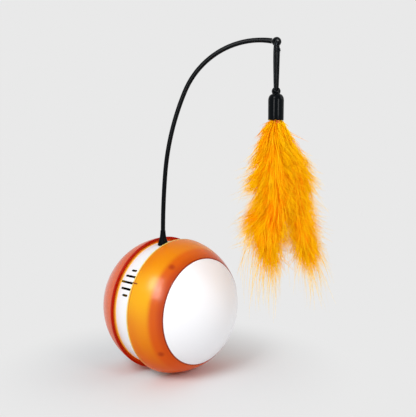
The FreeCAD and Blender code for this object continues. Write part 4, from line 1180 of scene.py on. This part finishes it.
def feather_piece(name, vertices, faces):
    """One soft piece of the plume, with no creases."""
    return new_piece(name, vertices, faces, "lure", "feather_orange", 180)


feathers = feather_piece("feather_barbs", bright_barbs.vertices, bright_barbs.faces)
deep_feathers = feather_piece("feather_barbs_deep", deep_barbs.vertices, deep_barbs.faces)
pale_feathers = feather_piece("feather_strays", pale_barbs.vertices, pale_barbs.faces)

# %% [markdown]
# ### The inner body
#
# Behind the barbs sits the down nearest the quills. It never shows as a surface; it only closes
# the gaps, so each clump's own outline, drawn in and made lumpy, is enough.


# %% Inner body
def inner_body(clump, share=0.5, sides=40):
    """A clump's outline drawn in to a share of its width and made lumpy."""
    vertices, rings = [], clump[:-2]
    for drop, *_ in rings:
        for turn in around(sides):
            lumps = 0.12 * math.sin(5 * turn + drop * 0.12) + 0.06 * math.sin(11 * turn - drop * 0.2)
            reach = share * (1 + lumps)
            vertices.append(plume_spot(clump, drop, reach * math.cos(turn), reach * math.sin(turn)))
    ends = [tuple(range(sides)), tuple(range(len(vertices) - sides, len(vertices)))]
    return vertices, sleeve(len(rings), sides) + ends


downs = []
for name, clump in (("feather_down", LONG_CLUMP), ("feather_down_side", SIDE_CLUMP)):
    down = feather_piece(name, *inner_body(clump))
    face_outward(down)
    downs.append(down)
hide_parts("feather_plume")


def feather_finish(name, light, dark):
    """Dyed barbs, lighter and darker in long streaks, with a faint painted glow for light let
    through.
    """
    finish = Finish(
        name,
        light,
        0.8,
        Specular_IOR_Level=0.05,
        Emission_Color=(1.0, 0.36, 0.0, 1.0),
        Emission_Strength=0.05,
    )
    streak = finish.noise(420, 3, (1, 1, 0.12)).step(0.42, 0.72)
    finish.tint(dark, streak * 0.7)
    return finish


saffron = feather_finish("saffron_feather", linear(250, 204, 0), linear(250, 182, 0))
deep_saffron = feather_finish("deep_saffron_feather", linear(252, 172, 0), linear(248, 132, 2))
# The pale finish is a lighter copy of the yellow, a painted highlight for fine barbs.
pale_saffron = feather_finish("pale_saffron_feather", linear(254, 210, 22), linear(252, 190, 4))
wear(pale_feathers, pale_saffron)
wear(feathers, saffron)
wear(deep_feathers, deep_saffron)
for down in downs:
    wear(down, deep_saffron)

# %% [markdown]
# ## Quills in the cap
#
# Where the feathers enter the cap their bare quills show for a few millimetres, dyed a darker
# orange. They are thin tubes, spread evenly over the bore by a sunflower's spiral, and each leans
# outwards a little.

# %% Quill bundle
QUILLS = 19
QUILL_REACH = 2.7 * MM
QUILL_RADII = (0.5 * MM, 0.5 * MM, 0.35 * MM)
SUNFLOWER_TURN = 2.4


def quill_parts(index):
    turn = SUNFLOWER_TURN * index
    reach = QUILL_REACH * math.sqrt((index + 0.5) / QUILLS)
    heading = Vector((reach * math.cos(turn), reach * math.sin(turn), 0))
    top = LURE @ (heading + Vector((0, 0, FERRULE_LOW + 2.5 * MM)))
    low = LURE @ (heading * 1.05 + Vector((0, 0, FERRULE_LOW - 3 * MM)))
    return tube_parts([top, top.lerp(low, 0.5), low], QUILL_RADII, 10)


def quill_finish():
    """Orange, darker in long streaks."""
    finish = Finish("dyed_quill", linear(226, 108, 30), 0.5)
    streak = finish.noise(700, 2, (1, 1, 0.1)).step(0.4, 0.7)
    finish.tint(linear(176, 60, 16), streak)
    return finish


quill_bundle = merged(*[quill_parts(index) for index in range(QUILLS)])
quills = new_piece("quill_ends", *quill_bundle, "lure", "feather_orange")
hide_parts("quill_bundle")
wear(quills, quill_finish())

# %% [markdown]
# ## Finishes for the works inside
#
# The parts that the shells hide keep their engineering shapes and get honest finishes: turned
# steel, sintered bronze, moulded frames and gears, foil, and a green board.


# %% Inner finishes
def steel_finish():
    """Fine rings round the axle, as a lathe leaves them."""
    finish = Finish("turned_steel", linear(168, 170, 174), 0.32, Metallic=1.0)
    rings = finish.noise(800, 2, (1, 0.1, 0.1)).step(0.3, 0.7)
    finish.feed("Roughness", 0.26 + rings * 0.16)
    return finish


def bronze_finish():
    """Pressed grains."""
    finish = Finish("sintered_bronze", linear(186, 140, 86), 0.45, Metallic=1.0)
    grain = finish.noise(2500, 3)
    finish.tint(linear(142, 98, 56), grain.step(0.4, 0.7))
    finish.bump(grain, 0.03 * MM, 0.4)
    return finish


def moulded_finish(name, light, dark):
    """Plain plastic with a cloudy tone."""
    finish = Finish(name, light, 0.5)
    cloud = finish.noise(300).step(0.4, 0.8) * 0.5
    finish.tint(dark, cloud)
    finish.bump(finish.noise(1800), 0.02 * MM, 0.2)
    return finish


def foil_finish():
    """Creased foil."""
    finish = Finish("battery_foil", linear(186, 188, 192), 0.35, Metallic=0.9)
    crease = finish.noise(220, 4)
    finish.feed("Roughness", 0.25 + crease * 0.25)
    finish.bump(crease, 0.15 * MM, 0.4)
    return finish


def board_finish():
    """Green lacquer over wandering copper traces."""
    green = linear(16, 84, 42)
    finish = Finish("green_board", green, 0.35, Coat_Weight=0.4, Coat_Roughness=0.2)
    finish.tint(linear(34, 120, 62), finish.noise(500, 1).step(0.5, 0.53))
    return finish


FINISHES = {
    "shell_orange": orange_shell,
    "dome_white": white_cap,
    "core_white": white_band,
    "frame_white": moulded_finish("moulded_frame", linear(226, 226, 222), linear(212, 211, 206)),
    "gear_white": moulded_finish("moulded_gear", linear(236, 232, 218), linear(222, 216, 198)),
    "steel": steel_finish(),
    "bronze": bronze_finish(),
    "battery_foil": foil_finish(),
    "board_green": board_finish(),
    "wand_black": black_rod,
    "boot_black": black_rubber,
    "button_grey": grey_button,
    "cord_black": black_braid,
    "ferrule_black": black_gloss,
    "feather_orange": saffron,
}
for subpart in frame["record"]["subparts"]:
    node = frame["nodes"][subpart["node"]]
    wear(node, FINISHES[subpart["material_slot"]])
print("slots with a finish:", len(FINISHES))

# %% [markdown]
# ## Floor, backdrop and light
#
# The picture has a pale grey sweep with no horizon and one soft shadow. The floor takes light and
# shadow near the toy and fades within a hand's width into the backdrop's own grey. The world shows
# that grey to the camera, in reflections and through clear parts, and lights the toy evenly with
# a dimmer white. A soft lamp at the upper left gives the broad highlight on the shell, another
# on the right lifts the white cap, and two small ones beside the lure draw a bright line down
# each side of its glossy cap.

# %% Stage
BACKDROP = linear(233, 233, 233)
WORLD_LIGHT = 0.40
FLOOR_HALF = 3.0


def floor_finish():
    """Pale and matt near the toy, and the backdrop's grey further out."""
    finish = Finish("pale_floor", linear(230, 232, 234), 0.9)
    along, across, _ = finish.axes()
    square = along * along + across * across
    far = square.math("SQRT", square).step(15 * MM, 115 * MM)
    glow = finish.add("ShaderNodeEmission", inputs={"Color": BACKDROP, "Strength": 1.0})
    surface = Level(finish, finish.shader.outputs[0])
    mixed = finish.add("ShaderNodeMixShader", inputs={0: far, 1: surface, 2: glow})
    finish.links.new(mixed.socket, finish.nodes["Material Output"].inputs["Surface"])
    return finish


corners = [(x * FLOOR_HALF, y * FLOOR_HALF, 0) for x, y in ((-1, -1), (1, -1), (1, 1), (-1, 1))]
floor = plain_mesh("floor", corners, [(0, 1, 2, 3)])
wear(floor, floor_finish())


def world_light():
    """White light all round, and the backdrop's grey wherever the world itself is seen."""
    world = bpy.data.worlds.new("studio")
    scene.world = world
    world.use_nodes = True
    nodes, links = world.node_tree.nodes, world.node_tree.links
    path = nodes.new("ShaderNodeLightPath")

    def sky(colour, strength):
        node = nodes.new("ShaderNodeBackground")
        node.inputs["Color"].default_value = colour
        node.inputs["Strength"].default_value = strength
        return node.outputs[0]

    def when(ray, usual, other):
        mix = nodes.new("ShaderNodeMixShader")
        links.new(path.outputs[ray], mix.inputs[0])
        links.new(usual, mix.inputs[1])
        links.new(other, mix.inputs[2])
        return mix.outputs[0]

    light = sky((1, 1, 1, 1), WORLD_LIGHT)
    for ray in ("Is Glossy Ray", "Is Transmission Ray", "Is Camera Ray"):
        light = when(ray, light, sky(BACKDROP, 1.0))
    links.new(light, nodes["World Output"].inputs["Surface"])


world_light()

# %% Lamps
TOY_MIDDLE = Vector((20, 10, 80)) * MM
LURE_MIDDLE = LURE @ Vector((0, 0, -10 * MM))


def soft_lamp(name, target, direction, distance, size, power):
    """A flat lamp that looks at a target from a direction: right, up and towards the camera."""
    away = (VIEW @ Vector(direction)).normalized()
    light = bpy.data.lights.new(name, "AREA")
    light.shape = "RECTANGLE"
    light.size, light.size_y = size
    light.energy = power
    lamp = linked(name, light)
    lamp.location = target + away * distance
    lamp.rotation_euler = away.to_track_quat("Z", "Y").to_euler()


soft_lamp("key_lamp", TOY_MIDDLE, (-0.41, 0.59, 0.70), 0.7, (0.25, 0.25), 1.85)
soft_lamp("rim_lamp", TOY_MIDDLE, (0.9, 0.5, 0.1), 0.8, (0.4, 0.4), 0.85)
soft_lamp("lure_lamp_left", LURE_MIDDLE, (-0.57, 0.0, 0.82), 0.25, (0.06, 0.09), 0.17)
soft_lamp("lure_lamp_right", LURE_MIDDLE, (0.47, 0.0, 0.88), 0.25, (0.06, 0.09), 0.17)
print("lamps ready")

# %% [markdown]
# ## Finish
#
# The render uses the plain view transform, so colours come out as they were written.

# %% Close
scene.view_settings.view_transform = "Standard"
